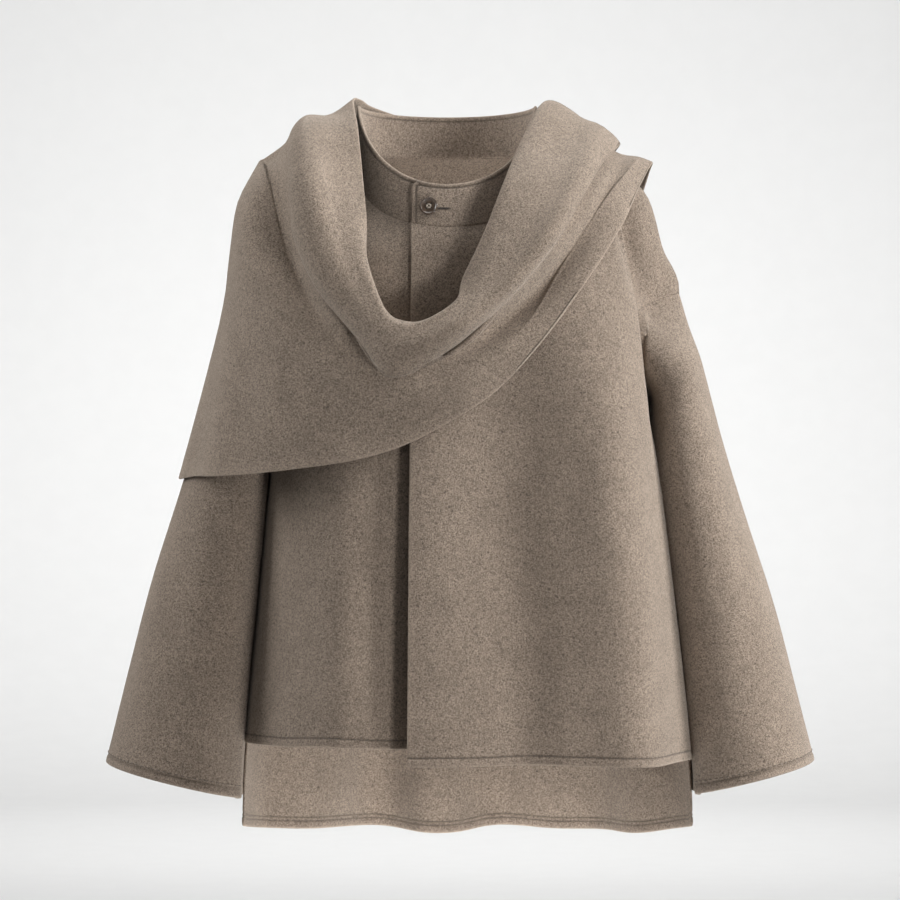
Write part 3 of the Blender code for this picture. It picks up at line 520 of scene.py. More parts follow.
def body_side(y, z, side):
    """x of the body's cloth at a depth and height on one side, below the armpit."""
    ring = ring_at(np.minimum(z, BODY_RINGS[4][1]))
    front, back, square = np.moveaxis(ring_rows(ring), -1, 0)[5:8]
    share = np.clip(np.abs(y) / np.where(y < 0, front, back), 0.0, 1.0)
    turn = np.degrees(np.arccos(share ** (square / 2)))
    ahead = front_surface(side * turn, ring, side)[..., 0]
    behind = back_surface(180 - side * turn, ring)[..., 0]
    return np.where(y < 0, ahead, behind)


def surface_normals(surface, angle, ring):
    """Unit normals, facing outwards, of a surface of an angle and a ring number."""
    turn = 0.5
    climb = 0.03
    across = surface(angle + turn, ring) - surface(angle - turn, ring)
    upward = surface(angle, ring + climb) - surface(angle, ring - climb)
    return unit(np.cross(across, upward))


def armhole(turn, side):
    """Edge of one side's armhole and the way into the hole.

    Turn 0 is the top of the armhole, 90 its front and 180 the armpit.
    """
    turn = np.radians(turn)
    width = np.where(np.sin(turn) > 0, ARMHOLE_TO_FRONT, ARMHOLE_TO_BACK)
    notch = np.abs(np.sin(turn)) ** ARMHOLE_TAPER
    angle = side * (SEAM_ANGLE - width * notch * np.sign(np.sin(turn)))
    ring = ARMHOLE_MIDDLE + ARMHOLE_REACH * np.cos(turn)
    edge = body_point(angle, ring)
    normals = surface_normals(body_point, angle, ring)
    along = np.roll(edge, -1, axis=0) - np.roll(edge, 1, axis=0)
    inward = unit(np.cross(normals, along))
    facing = np.sum((edge.mean(axis=0) - edge) * inward, axis=-1, keepdims=True)
    return edge, inward * np.sign(facing)


def notch_width(ring, width):
    """How far the armhole cuts into a panel at a ring number, in degrees."""
    inside = np.clip(1 - ((ring - ARMHOLE_MIDDLE) / ARMHOLE_REACH) ** 2, 0.0, 1.0)
    return width * inside ** (ARMHOLE_TAPER / 2)


def seam_degrees(ring):
    """Angle that half a seam's gap takes at a ring number."""
    rows = ring_rows(ring)
    return np.degrees(0.5 * SEAM / rows[..., 5])


def speed_along(surface, first, second, step, along_first):
    """How many millimetres a surface's point moves for one unit of a coordinate."""
    if along_first:
        ends = surface(first + step, second), surface(first - step, second)
    else:
        ends = surface(first, second + step), surface(first, second - step)
    return np.linalg.norm(ends[0] - ends[1], axis=-1) / (2 * step)


def body_rings(hem, neck_speed, hem_edge):
    """Ring numbers of a panel's rows, from the hem (a number for each column) to the neck."""
    hem = np.reshape(hem, (1, -1))
    low = hem + np.reshape(hem_edge, (-1, 1)) / speed_along_rings(hem)
    top = NECK_RING - np.reshape(PLAIN_EDGE[::-1], (-1, 1)) / np.reshape(neck_speed, (1, -1))
    rows_below, rows_beside, rows_above = BODY_ROWS
    below = low[-1:] + (ARMHOLE_BOTTOM - low[-1:]) * np.linspace(0, 1, rows_below)[1:-1, None]
    share = np.linspace(-1, 1, rows_beside)
    beside = ARMHOLE_MIDDLE + ARMHOLE_REACH * (share + np.sin(share * math.pi / 2)) / 2
    beside = beside[:, None] + 0 * hem
    above = ARMHOLE_TOP + (top[:1] - ARMHOLE_TOP) * np.linspace(0, 1, rows_above)[1:-1, None]
    return np.concatenate([low, below, beside, above, top])


def speed_along_rings(ring):
    """How many millimetres the level rings climb for one ring number."""
    heights = np.array([row[1] for row in BODY_RINGS], float)
    numbers = range(len(BODY_RINGS))
    return (spline(numbers, heights, ring + 0.02) - spline(numbers, heights, ring)) / 0.02


def across_panel(surface, ring, turns, steps):
    """Angles of a panel's columns between turning lines, with more of them beside its edges."""
    side = np.sign(turns[-1] - turns[0]).flat[0]
    near = np.array(PLAIN_EDGE)
    places = [(0, 0.0, away) for away in near]
    for part, count in enumerate(steps):
        places += [(part, share, 0.0) for share in np.linspace(0, 1, count + 1)[1:]]
    places = places[:-1] + [(len(steps) - 1, 1.0, -away) for away in near[::-1]]
    columns = []
    speeds = [speed_along(surface, turn, ring[:, 0], 0.2, True) for turn in (turns[0], turns[-1])]
    for part, share, away in places:
        low, high = turns[part], turns[part + 1]
        pace = speeds[0] if away >= 0 else speeds[1]
        columns.append(low + (high - low) * share + side * away / pace)
    return np.stack(columns, axis=1), len(places)


def front_cloth(side):
    """Middle of a front panel's cloth; side 1 overlaps and side -1 lies beneath."""
    def surface(angle, ring):
        return front_surface(angle, ring, side)

    low = HEM_FRONT_RIGHT if side > 0 else HEM_FRONT_LEFT
    hem = ring_at(low)
    count = sum(FRONT_STEPS) + 2 * len(PLAIN_EDGE) - 1
    guess = side * np.linspace(-20, SEAM_ANGLE, count)
    pace = speed_along(surface, guess, np.full(count, NECK_RING - 0.1), 0.05, False)
    ring = body_rings(np.full(count, hem), pace, HEM_EDGE)
    level = ring.mean(axis=1)
    rows = ring_rows(level)
    height = np.clip((rows[:, 0] - low) / (BODY_RINGS[-1][0] - low), 0.0, 1.0)
    edge = FRONT_EDGE_RIGHT + (FRONT_EDGE_NECK - FRONT_EDGE_RIGHT) * height
    edge = edge if side > 0 else np.full_like(edge, UNDERLAP_X)
    share = np.clip((edge - rows[:, 3]) / rows[:, 4], -1, 1)
    start = np.degrees(np.arcsin(np.sign(share) * np.abs(share) ** (rows[:, 7] / 2)))
    end = SEAM_ANGLE - notch_width(level, ARMHOLE_TO_FRONT) - seam_degrees(level)
    turns = [start, side * FOLD_START, side * FOLD_ANGLE, side * VALLEY_ANGLE, side * end]
    turns = [np.broadcast_to(turn, level.shape) for turn in turns]
    angle, count = across_panel(surface, level[:, None], turns, FRONT_STEPS)
    return surface(angle, ring[:, :count])


def back_cloth():
    """Middle of the back panel's cloth, from the right seam to the left seam."""
    count = sum(BACK_STEPS) + 2 * len(PLAIN_EDGE) - 1
    guess = np.linspace(SEAM_ANGLE, 360 - SEAM_ANGLE, count)
    deep = np.abs(np.cos(np.radians(guess))) ** 0.6
    hem = ring_at(HEM_BACK_SIDE + (HEM_BACK_MIDDLE - HEM_BACK_SIDE) * deep)
    pace = speed_along(back_surface, guess, np.full(count, NECK_RING - 0.1), 0.05, False)
    ring = body_rings(hem, pace, BACK_HEM_EDGE)
    level = ring.mean(axis=1)
    cut = notch_width(level, ARMHOLE_TO_BACK) + seam_degrees(level)
    turns = [SEAM_ANGLE + cut, 360 - SEAM_ANGLE - cut]
    angle, count = across_panel(back_surface, level[:, None], turns, BACK_STEPS)
    return back_surface(angle, ring[:, :count])


def sleeve_points(table, side, turn, along):
    """Points of a sleeve's cloth: a turn for each column, a distance along for each point."""
    columns = np.asarray(table, float)
    cosine = np.cos(np.radians(turn))
    sine = np.sin(np.radians(turn))
    power = 2 / SLEEVE_SQUARENESS
    across = (np.sign(cosine) * np.abs(cosine) ** power)[:, None]
    deep = (np.sign(sine) * np.abs(sine) ** power)[:, None]
    depthwise = np.array([0.0, 1.0, 0.0])

    def section(share):
        rows = spline(columns[:, 0], columns[:, 1:], share)
        outer = np.stack([rows[..., 0], 0 * share, rows[..., 1]], axis=-1)
        inner = np.stack([rows[..., 2], 0 * share, rows[..., 3]], axis=-1)
        return ((outer + inner) / 2 + (outer - inner) / 2 * across
                + (rows[..., 4:5] - rows[..., 5:6] * deep) * depthwise)

    edge, inward = armhole(turn, side)
    armpit = ((1 - cosine) / 2)[:, None] ** 4
    start = edge + inward * (SEAM + (CLOTH / 2 + ARMPIT_GAP) * np.sqrt(armpit))
    fade = 1 - ease(along / SLEEVE_SETTLE)
    points = section(along) + (start - section(0 * turn)) * fade[..., None]
    wall = body_side(points[..., 1], points[..., 2], side) + side * SLEEVE_BODY_GAP
    short = np.maximum(side * (wall - points[..., 0]), 0)
    points[..., 0] += side * short * ease(along / SLEEVE_CLEAR)
    return points


def sleeve_cloth(table, side):
    """Middle of a sleeve's cloth, a row for each ring from the armhole to the cuff."""
    turn = np.linspace(0, 360, SLEEVE_COLUMNS, endpoint=False)
    sample = np.broadcast_to(np.linspace(0, 1, 30)[:, None], (30, len(turn)))
    steps = np.linalg.norm(np.diff(sleeve_points(table, side, turn, sample), axis=0), axis=-1)
    length = steps.sum(axis=0)
    top = np.array(PLAIN_EDGE)[:, None] / length
    cuff = 1 - np.array(HEM_EDGE[::-1])[:, None] / length
    between = top[-1:] + (cuff[:1] - top[-1:]) * np.linspace(0, 1, SLEEVE_ROWS)[1:-1, None]
    along = np.concatenate([top, between, cuff])
    return sleeve_points(table, side, turn, along)


def collar_cloth():
    """Middle of the collar's cloth, rows from its lower to its upper edge."""
    low = np.array(PLAIN_EDGE) / COLLAR_HEIGHT
    high = 1 - np.array(PIPED_EDGE[::-1]) / COLLAR_HEIGHT
    share = np.concatenate([low, np.linspace(low[-1], high[0], COLLAR_ROWS)[1:-1], high])[:, None]
    rise = np.clip(COLLAR_HEIGHT * share - (COLLAR_HEIGHT - COLLAR_CORNER), 0, COLLAR_CORNER)
    corner = COLLAR_CORNER - np.sqrt(COLLAR_CORNER**2 - rise**2)
    half = BODY_RINGS[-1][4] + (COLLAR_TOP_HALF_WIDTH - BODY_RINGS[-1][4]) * share
    first = np.degrees(np.arcsin(UNDERLAP_X / half))
    last = np.degrees(np.arcsin((FRONT_EDGE_NECK + corner) / half)) - 360
    pace = math.radians(1) * half
    first_columns = first - np.array(PLAIN_EDGE) / pace
    last_columns = last + np.array(PIPED_EDGE[::-1]) / pace
    middle = np.linspace(0, 1, COLLAR_COLUMNS)[1:-1]
    between = first_columns[:, -1:] + (last_columns[:, :1] - first_columns[:, -1:]) * middle
    angle = np.concatenate([first_columns, between, last_columns], axis=1)
    return collar_surface(angle, np.broadcast_to(share, angle.shape))


def shawl_cloth(garment):
    """Middle of the shawl's cloth, a row across it for every step along its length."""
    coarse = lift_clear(shawl_grid(), garment, SHAWL_CLEARANCE)
    count, width = coarse.shape[:2]
    near = np.array(PLAIN_EDGE)
    ends = [np.linalg.norm(coarse[a] - coarse[b], axis=-1).mean() for a, b in ((1, 0), (-1, -2))]
    length = np.linspace(0, count - 1, (count - 1) * SHAWL_FINER[0] + 1)[1:-1]
    rows = np.concatenate([near / ends[0], length, count - 1 - near[::-1] / ends[1]])
    lines = spline(range(count), coarse, rows)
    outer = np.linalg.norm(lines[:, 1] - lines[:, 0], axis=-1)[:, None]
    inner = np.linalg.norm(lines[:, -1] - lines[:, -2], axis=-1)[:, None]
    inside = np.linspace(0, width - 1, (width - 1) * SHAWL_FINER[1] + 1)[1:-1]
    places = np.concatenate([near / outer, np.broadcast_to(inside, (len(rows), len(inside))),
                             width - 1 - near[::-1] / inner], axis=1)
    index = np.clip(places.astype(int), 0, width - 2)
    t = (places - index)[..., None]
    slopes = np.gradient(lines, axis=1)

    def pick(values, offset):
        return np.take_along_axis(values, (index + offset)[..., None], axis=1)

    return hermite(t, pick(lines, 0), pick(lines, 1), pick(slopes, 0), pick(slopes, 1))


def surface_tree(items):
    """Search tree over the surfaces of several objects, in millimetres."""
    verts = []
    faces = []
    for item in items:
        first = len(verts)
        verts += [corner.co / MM for corner in item.data.vertices]
        faces += [[first + corner for corner in face.vertices] for face in item.data.polygons]
    return BVHTree.FromPolygons(verts, faces)


def crease_depth(points, normals, table):
    """How far a table's creases push points out along their normals."""
    depth = np.zeros(points.shape[:-1])
    place = points[..., None, ::2]
    steps = np.linspace(0, 1, CREASE_STEPS + 1)[:, None]
    for x0, z0, x1, z1, x2, z2, width, height, face in table:
        curve = ((1 - steps) ** 2 * np.array((x0, z0)) + 2 * steps * (1 - steps)
                 * np.array((x1, z1)) + steps**2 * np.array((x2, z2)))
        pieces = np.diff(curve, axis=0)
        start = curve[:-1]
        along = np.sum((place - start) * pieces, axis=-1) / np.sum(pieces**2, axis=-1)
        along = np.clip(along, 0, 1)
        away = np.linalg.norm(place - start - along[..., None] * pieces, axis=-1)
        nearest = away.argmin(axis=-1)[..., None]
        run = (nearest + np.take_along_axis(along, nearest, axis=-1))[..., 0] / len(pieces)
        taper = np.sin(math.pi * (0.04 + 0.92 * run)) ** 0.8
        faces = ease((0.25 - face * normals[..., 1]) / 0.5)
        depth += height * taper * faces * np.exp(-((away.min(axis=-1) / width) ** 2))
    return depth


def push(grid, table):
    """Grid with the places of a table moved softly."""
    moved = grid.copy()
    for x, y, z, reach, *move in table:
        away = np.linalg.norm(grid - (x, y, z), axis=-1)
        moved += np.exp(-((away / reach) ** 2))[..., None] * move
    return moved


def ripple(points, height):
    """Slight unevenness of hanging cloth, the same for pieces that meet."""
    x, y, z = np.moveaxis(points, -1, 0)
    waves = (np.sin(x / 17.0 + 0.8 * np.sin(z / 61.0) + y / 29.0)
             + 0.8 * np.sin(z / 31.0 + x / 23.0 - y / 19.0 + 1.3)
             + 0.6 * np.sin(x / 9.5 - z / 44.0 + y / 12.5 + 0.4))
    return height * waves / 2.4


def settle(grid, table, closed=False, height=RIPPLE):
    """Grid with its creases and unevenness, and its normals."""
    normals = outward(grid, grid_normals(grid, closed))
    depth = crease_depth(grid, normals, table) + ripple(grid, height)
    moved = grid + normals * depth[..., None]
    return moved, outward(moved, grid_normals(moved, closed))


def outward(grid, normals):
    """Normals turned away from the middle of the chest, as a whole."""
    away = grid - np.array(BODY_MIDDLE) - grid[..., 2:] * [0, 0, 1]
    return normals * np.sign(np.sum(normals * away))


def smooth_object(name, mesh, material):
    """Smooth object of a mesh in the scene, in one material."""
    mesh.materials.append(material)
    mesh.shade_smooth()
    item = bpy.data.objects.new(name, mesh)
    bpy.context.scene.collection.objects.link(item)
    return item


def tube_faces(first, layers, sides):
    """Faces of a closed tube whose rings of corners follow each other from a first corner."""
    faces = []
    for base in range(first, first + (layers - 1) * sides, sides):
        for corner in range(sides):
            other = (corner + 1) % sides
            faces.append((base + corner, base + other,
                          base + sides + other, base + sides + corner))
    last = first + (layers - 1) * sides
    faces.append(tuple(range(first + sides - 1, first - 1, -1)))
    faces.append(tuple(range(last, last + sides)))
    return faces


def spun_mesh(name, profile, unit_length):
    """Mesh of a profile (distance from the axis, height) spun round the z axis."""
    work = bmesh.new()
    corners = [work.verts.new((out * unit_length, 0, high * unit_length))
               for out, high in profile]
    edges = [work.edges.new(pair) for pair in zip(corners, corners[1:])]
    bmesh.ops.spin(work, geom=corners + edges, cent=(0, 0, 0), axis=(0, 0, 1),
                   angle=math.tau, steps=72, use_duplicate=False)
    bmesh.ops.remove_doubles(work, verts=work.verts, dist=1e-6)
    bmesh.ops.recalc_face_normals(work, faces=work.faces)
    mesh = bpy.data.meshes.new(name)
    work.to_mesh(mesh)
    work.free()
    return mesh


def edge_distance(grid, line):
    """Distance of each point of a grid from a line of points on it."""
    tree = KDTree(len(line))
    for index, point in enumerate(line):
        tree.insert(Vector(point), index)
    tree.balance()
    away = [tree.find(Vector(point))[2] for point in grid.reshape(-1, 3)]
    return np.array(away).reshape(grid.shape[:2])


def cloth_thickness(grid, edges, thickness):
    """Half thickness outwards and inwards, and the masks of the painted highlight near free edges
    and of the painted shade along stitched lines.

    Edges names the lines "start" and "end" (first and last row) and "first" and "last"
    (columns), each with the distance of its stitched lines and whether it is free.
    """
    share = np.ones(grid.shape[:2])
    raised = np.zeros(grid.shape[:2])
    edge_highlight = np.zeros(grid.shape[:2])
    groove_shade_mask = np.zeros(grid.shape[:2])
    lines = {"start": grid[0], "end": grid[-1], "first": grid[:, 0], "last": grid[:, -1]}
    for edge, (stitched, free) in edges.items():
        away = edge_distance(grid, lines[edge])
        near = np.clip(1 - away / EDGE_ROUND, 0, 1)
        share = np.minimum(share, np.sqrt(np.maximum(1 - near**2, 0.05)))
        # Painted highlight: near a free edge the colour turns lighter, for the light that the edge
        # catches.
        if free:
            edge_highlight = np.maximum(edge_highlight, np.exp(-((away / EDGE_HIGHLIGHT_REACH) ** 2)))
        for line in stitched:
            raised -= GROOVE_DEPTH * np.exp(-(((away - line) / GROOVE_WIDTH) ** 2))
            # Painted shade: a dark line along each stitched line, for the shade in its groove.
            groove_shade_mask = np.maximum(groove_shade_mask, np.exp(-(((away - line) / GROOVE_SHADE) ** 2)))
        if stitched:
            raised += EDGE_PUFF * np.exp(
                -(((away - stitched[0] / 2) / (stitched[0] / 2.2)) ** 2))
    half = thickness / 2 * share
    return half + raised * share, half + 0.3 * raised * share, edge_highlight, groove_shade_mask


def cloth_piece(name, grid, normals, edges, thickness, material, closed=False):
    """Cloth wall on both sides of a grid of points in millimetres, as a smooth object."""
    out, back_in, edge_highlight, groove_shade_mask = cloth_thickness(grid, edges, thickness)
    outer = grid + normals * out[..., None]
    inner = grid - normals * back_in[..., None]
    rows, columns = grid.shape[:2]
    number = np.arange(rows * columns).reshape(rows, columns)
    if closed:
        number = np.concatenate([number, number[:, :1]], axis=1)
    quads = np.stack([number[:-1, :-1], number[:-1, 1:], number[1:, 1:], number[1:, :-1]], axis=-1)
    quads = quads.reshape(-1, 4)
    back = rows * columns
    rims = [number[0], number[-1][::-1]] if closed else [np.concatenate(
        [number[0], number[1:, -1], number[-1, -2::-1], number[-2::-1, 0]])]
    faces = [quads, quads[:, ::-1] + back]
    for rim in rims:
        faces.append(np.stack([rim[1:], rim[:-1], rim[:-1] + back, rim[1:] + back], axis=-1))
    mesh = bpy.data.meshes.new(name)
    verts = np.concatenate([outer.reshape(-1, 3), inner.reshape(-1, 3)]) * MM
    mesh.from_pydata(verts.tolist(), [], np.concatenate(faces).tolist())
    work = bmesh.new()
    work.from_mesh(mesh)
    bmesh.ops.recalc_face_normals(work, faces=work.faces)
    work.to_mesh(mesh)
    work.free()
    # Masks of the painted edge highlight and the painted groove shade, kept on the mesh for the
    # wool's colour.
    for attribute, values in (("painted_edge_highlight", edge_highlight), ("groove_painted_shade", groove_shade_mask)):
        layer = mesh.attributes.new(attribute, "FLOAT", "POINT")
        layer.data.foreach_set("value", np.concatenate([values.ravel(), values.ravel()]))
    return smooth_object(name, mesh, material), outer


def collar_point(angle, share, out):
    """Point on the collar's cloth; share 0 is its lower edge and 1 its upper edge."""
    neck = np.full_like(angle, NECK_RING)
    base = body_point(angle, neck, out)
    sine = np.sin(np.radians(angle))
    cosine = np.cos(np.radians(angle))
    front = cosine > 0
    depth = np.where(front, COLLAR_TOP_FRONT_DEPTH, COLLAR_TOP_BACK_DEPTH) + out
    end_z = np.where(front, COLLAR_TOP_FRONT_Z, COLLAR_TOP_BACK_Z)
    top_z = COLLAR_TOP_SIDE_Z + (end_z - COLLAR_TOP_SIDE_Z) * lean(np.abs(cosine), 0.1)
    top = np.stack([1 + (COLLAR_TOP_HALF_WIDTH + out) * sine, -depth * cosine, top_z], axis=-1)
    along = unit(body_point(angle + 0.5, neck, out) - body_point(angle - 0.5, neck, out))
    up = unit(top - base)
    rise = up - along * np.sum(up * along, axis=-1, keepdims=True)
    length = np.linalg.norm(rise, axis=-1, keepdims=True)
    tilt = np.sum(surface_normals(body_point, angle, neck) * rise, axis=-1, keepdims=True)
    side = (1 - np.abs(cosine))[..., None] ** 4
    seam = COLLAR_SEAM + (COLLAR_SIDE_SEAM - COLLAR_SEAM) * side
    base = base + up * (seam + CLOTH / 2 * np.abs(tilt) / length) / length
    return base + (top - base) * np.asarray(share)[..., None]


def collar_surface(angle, share):
    """Point on the collar's cloth, its lapped end standing outside its hidden end."""
    start, length = COLLAR_LAP_FADE
    return collar_point(angle, share, OVERLAP_STEP * ease((start - angle) / length))


def shawl_lines():
    """Lines of the shawl at each of its sections, from the outer edge to the inner edge."""
    rows = np.asarray(SHAWL, float)
    outer, drop, fold, crest, inner = (rows[:, 3 * k:3 * k + 3] for k in range(5))
    tuck, puff = rows[:, 15:16], rows[:, 16:17]
    hang = drop + (outer - drop) * SHAWL_HANG
    away = unit((fold + crest) / 2 - np.array(SHAWL_CORE))
    upward = unit(crest - fold)
    under = fold + upward * tuck - away * (tuck * TUCK_DEPTH)
    under += (drop - fold) * SHAWL_UNDER * np.clip(1 - tuck / TUCK_FULL, 0, 1)
    roll = fold * 0.5 + crest * 0.5 + away * puff
    return np.stack([outer, hang, drop, under, fold, roll, crest, inner])


def shawl_grid():
    """Middle of the shawl's wall, a row across it for every step along its sections."""
    lines = shawl_lines()
    count = lines.shape[1]
    along = np.linspace(0, count - 1, (count - 1) * SHAWL_STEPS + 1)
    sections = spline(range(count), np.moveaxis(lines, 1, 0), along)
    rows = []
    for section in sections:
        lengths = np.linalg.norm(np.diff(section, axis=0), axis=1)
        knots = np.concatenate([[0.0], np.cumsum(lengths)])
        places = [knots[:1]]
        for low, high, steps in zip(knots, knots[1:], SHAWL_ACROSS):
            places.append(np.linspace(low, high, steps + 1)[1:])
        rows.append(spline(knots, section, np.concatenate(places), SHAWL_SWING))
    return np.array(rows)


def lift_clear(grid, garment, clearance):
    """Move points of a grid out from the middle of the chest until they clear the garment."""
    core = Vector(SHAWL_CORE)
    lifted = grid.copy()
    for place in np.ndindex(grid.shape[:2]):
        point = Vector(grid[place])
        away = (point - core).normalized()
        hit = garment.ray_cast(core + away * 1000, -away)[0]
        if hit is not None and (hit - core).dot(away) > 0:
            reach = (hit - core).length + clearance
            if (point - core).length < reach:
                lifted[place] = core + away * reach
    return lifted


def grid_normals(grid, closed):
    """Unit normals of a grid of points; closed joins the last column to the first."""
    if closed:
        wide = np.concatenate([grid[:, -1:], grid, grid[:, :1]], axis=1)
        across = wide[:, 2:] - wide[:, :-2]
    else:
        across = np.gradient(grid, axis=1)
    return unit(np.cross(np.gradient(grid, axis=0), across))


def stitch_line(name, path, normals, material, stitch=HEM_STITCH):
    """Row of short threads, each sunk at both ends, along a path in millimetres."""
    length, gap, radius = stitch
    sides = 6
    steps = np.linalg.norm(np.diff(path, axis=0), axis=1)
    run = np.concatenate([[0.0], np.cumsum(steps)])
    count = int((run[-1] - gap) // (length + gap))
    starts = gap + np.arange(count) * (run[-1] - gap) / count
    rings = np.array(STITCH_RINGS)
    at = starts[:, None] + rings[:, 0] * length
    middle = np.stack([np.interp(at, run, path[:, axis]) for axis in range(3)], axis=-1)
    up = unit(np.stack([np.interp(at, run, normals[:, axis]) for axis in range(3)], axis=-1))
    ahead = unit(middle[:, -1] - middle[:, 0])[:, None]
    beside = unit(np.cross(ahead, up))
    middle = middle + up * rings[:, 2:]
    angle = np.arange(sides) * math.tau / sides
    ring = (beside[:, :, None] * np.cos(angle)[:, None] + up[:, :, None] * np.sin(angle)[:, None])
    verts = middle[:, :, None] + ring * (radius * rings[:, 1])[:, None, None]
    faces = []
    for first in range(0, count * len(rings) * sides, len(rings) * sides):
        faces += tube_faces(first, len(rings), sides)
    mesh = bpy.data.meshes.new(name)
    mesh.from_pydata((verts.reshape(-1, 3) * MM).tolist(), [], faces)
    return smooth_object(name, mesh, material)


def dress(item, nodes, extras=()):
    """Let a piece ride with the coat in place of its CAD nodes, with its threads on it."""
    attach(item, "root")
    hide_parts(*nodes)
    for extra in extras:
        extra.parent = item


class Nodes:
    """Shader nodes of one material, with short calls to add and join them."""

    def __init__(self, name):
        self.material = bpy.data.materials.new(name)
        self.material.use_nodes = True
        self.tree = self.material.node_tree
        self.shader = self.tree.nodes["Principled BSDF"]
        self.place = self.tree.nodes.new("ShaderNodeTexCoord").outputs["Object"]

    def join(self, source, socket):
        """Join an output to a socket, or set the socket where the source is a number."""
        if isinstance(source, bpy.types.NodeSocket):
            self.tree.links.new(source, socket)
        else:
            socket.default_value = source

    def noise(self, scale, detail=2.0, rough=0.5, warp=0.0, place=None):
        """Noise of a scale in cells to the metre."""
        node = self.tree.nodes.new("ShaderNodeTexNoise")
        node.inputs["Scale"].default_value = scale
        node.inputs["Detail"].default_value = detail
        node.inputs["Roughness"].default_value = rough
        node.inputs["Distortion"].default_value = warp
        self.join(place or self.place, node.inputs["Vector"])
        return node.outputs["Fac"]

    def math(self, kind, first, second=0.0, third=0.0):
        """Sum on numbers or outputs."""
        node = self.tree.nodes.new("ShaderNodeMath")
        node.operation = kind
        for source, socket in zip((first, second, third), node.inputs):
            self.join(source, socket)
        return node.outputs[0]

    def spread(self, source, low, high, to_low, to_high):
        """Map a range of numbers onto another one, smoothly and held at its ends."""
        node = self.tree.nodes.new("ShaderNodeMapRange")
        node.interpolation_type = "SMOOTHSTEP"
        for value, socket in zip((source, low, high, to_low, to_high), node.inputs):
            self.join(value, socket)
        return node.outputs["Result"]

    def blend(self, share, first, second):
        """Mix of two colours."""
        node = self.tree.nodes.new("ShaderNodeMix")
        node.data_type = "RGBA"
        self.join(share, node.inputs["Factor"])
        for colour, socket in ((first, node.inputs["A"]), (second, node.inputs["B"])):
            self.join(colour if isinstance(colour, bpy.types.NodeSocket) else (*colour, 1.0),
                      socket)
        return node.outputs["Result"]

    def bump(self, height, distance, strength, before=None):
        """Relief from a height."""
        node = self.tree.nodes.new("ShaderNodeBump")
        node.inputs["Distance"].default_value = distance
        node.inputs["Strength"].default_value = strength
        self.join(height, node.inputs["Height"])
        if before is not None:
            self.join(before, node.inputs["Normal"])
        return node.outputs["Normal"]

    def attribute(self, name):
        """Number that a mesh keeps for each of its points."""
        node = self.tree.nodes.new("ShaderNodeAttribute")
        node.attribute_name = name
        return node.outputs["Fac"]


def wool_material(name, cloth):
    """Felted wool: tangled fibres over a fine melange, nap whose sheen lights up at grazing
    angles, a painted highlight along free edges and painted shade along stitched lines.
    """
    nodes = Nodes(name)
    dark = nodes.noise(34.0, 3.0)
    patch = nodes.spread(dark, 0.3, 0.7, 0.0, 1.0)
    grain = nodes.noise(cloth.grain_scale, 3.0, 0.62, 0.6)
    melange = nodes.spread(grain, 0.30, 0.70, 0.0, 1.0)
    worms = nodes.noise(cloth.grain_scale * 0.8, 1.0, 0.5, 1.2)
    line = nodes.math("ABSOLUTE", nodes.math("SUBTRACT", worms, 0.5))
    fibre = nodes.spread(line, 0.0, 0.11, 1.0, 0.0)
    hairs = nodes.noise(cloth.grain_scale * 2.7, 2.0, 0.6, 2.2)
    hair_line = nodes.math("ABSOLUTE", nodes.math("SUBTRACT", hairs, 0.48))
    hair = nodes.spread(hair_line, 0.0, 0.05, 1.0, 0.0)
    base = nodes.blend(melange, cloth.dark_colour, cloth.colour)
    base = nodes.blend(nodes.math("MULTIPLY", fibre, 0.55), base, cloth.light_colour)
    base = nodes.blend(nodes.math("MULTIPLY", hair, 0.25), base, cloth.light_colour)
    base = nodes.blend(nodes.math("MULTIPLY", patch, 0.16), base, cloth.dark_colour)
    # Painted highlight: the light fibres' colour mixed in along free edges.
    edge_highlight = nodes.math("MULTIPLY", nodes.attribute("painted_edge_highlight"), 0.3)
    base = nodes.blend(edge_highlight, base, cloth.light_colour)
    # Painted shade: the dark fibres' colour mixed in along stitched lines.
    groove_shade_share = nodes.math("MULTIPLY", nodes.attribute("groove_painted_shade"), 0.7)
    base = nodes.blend(groove_shade_share, base, cloth.dark_colour)
    nodes.join(base, nodes.shader.inputs["Base Color"])
    rough = nodes.spread(grain, 0.25, 0.75, 0.84, 0.98)
    nodes.join(rough, nodes.shader.inputs["Roughness"])
    height = nodes.math("MULTIPLY_ADD", fibre, 0.55, nodes.math("MULTIPLY", melange, 0.7))
    height = nodes.math("MULTIPLY_ADD", hair, 0.25, height)
    relief = nodes.bump(nodes.noise(90.0, 3.0, 0.6), 0.0012, 0.35)
    relief = nodes.bump(height, 0.00055, cloth.relief, relief)
    nodes.join(relief, nodes.shader.inputs["Normal"])
    nodes.shader.inputs["Sheen Weight"].default_value = 0.4
    nodes.shader.inputs["Sheen Roughness"].default_value = 0.5
    nodes.shader.inputs["Sheen Tint"].default_value = (0.95, 0.86, 0.76, 1.0)
    nodes.shader.inputs["Specular IOR Level"].default_value = 0.2
    return nodes.material


def thread_material(name, colour):
    """Twisted sewing thread."""
    nodes = Nodes(name)
    twist = nodes.noise(2600.0, 2.0, 0.6, 1.0)
    strand = nodes.spread(twist, 0.35, 0.65, 0.0, 1.0)
    deep = tuple(0.6 * part for part in colour)
    nodes.join(nodes.blend(strand, deep, tuple(colour)), nodes.shader.inputs["Base Color"])
    nodes.join(nodes.spread(twist, 0.3, 0.7, 0.6, 0.85), nodes.shader.inputs["Roughness"])
    nodes.join(nodes.bump(strand, 0.00015, 0.7), nodes.shader.inputs["Normal"])
    nodes.shader.inputs["Sheen Weight"].default_value = 0.25
    nodes.shader.inputs["Sheen Roughness"].default_value = 0.4
    return nodes.material


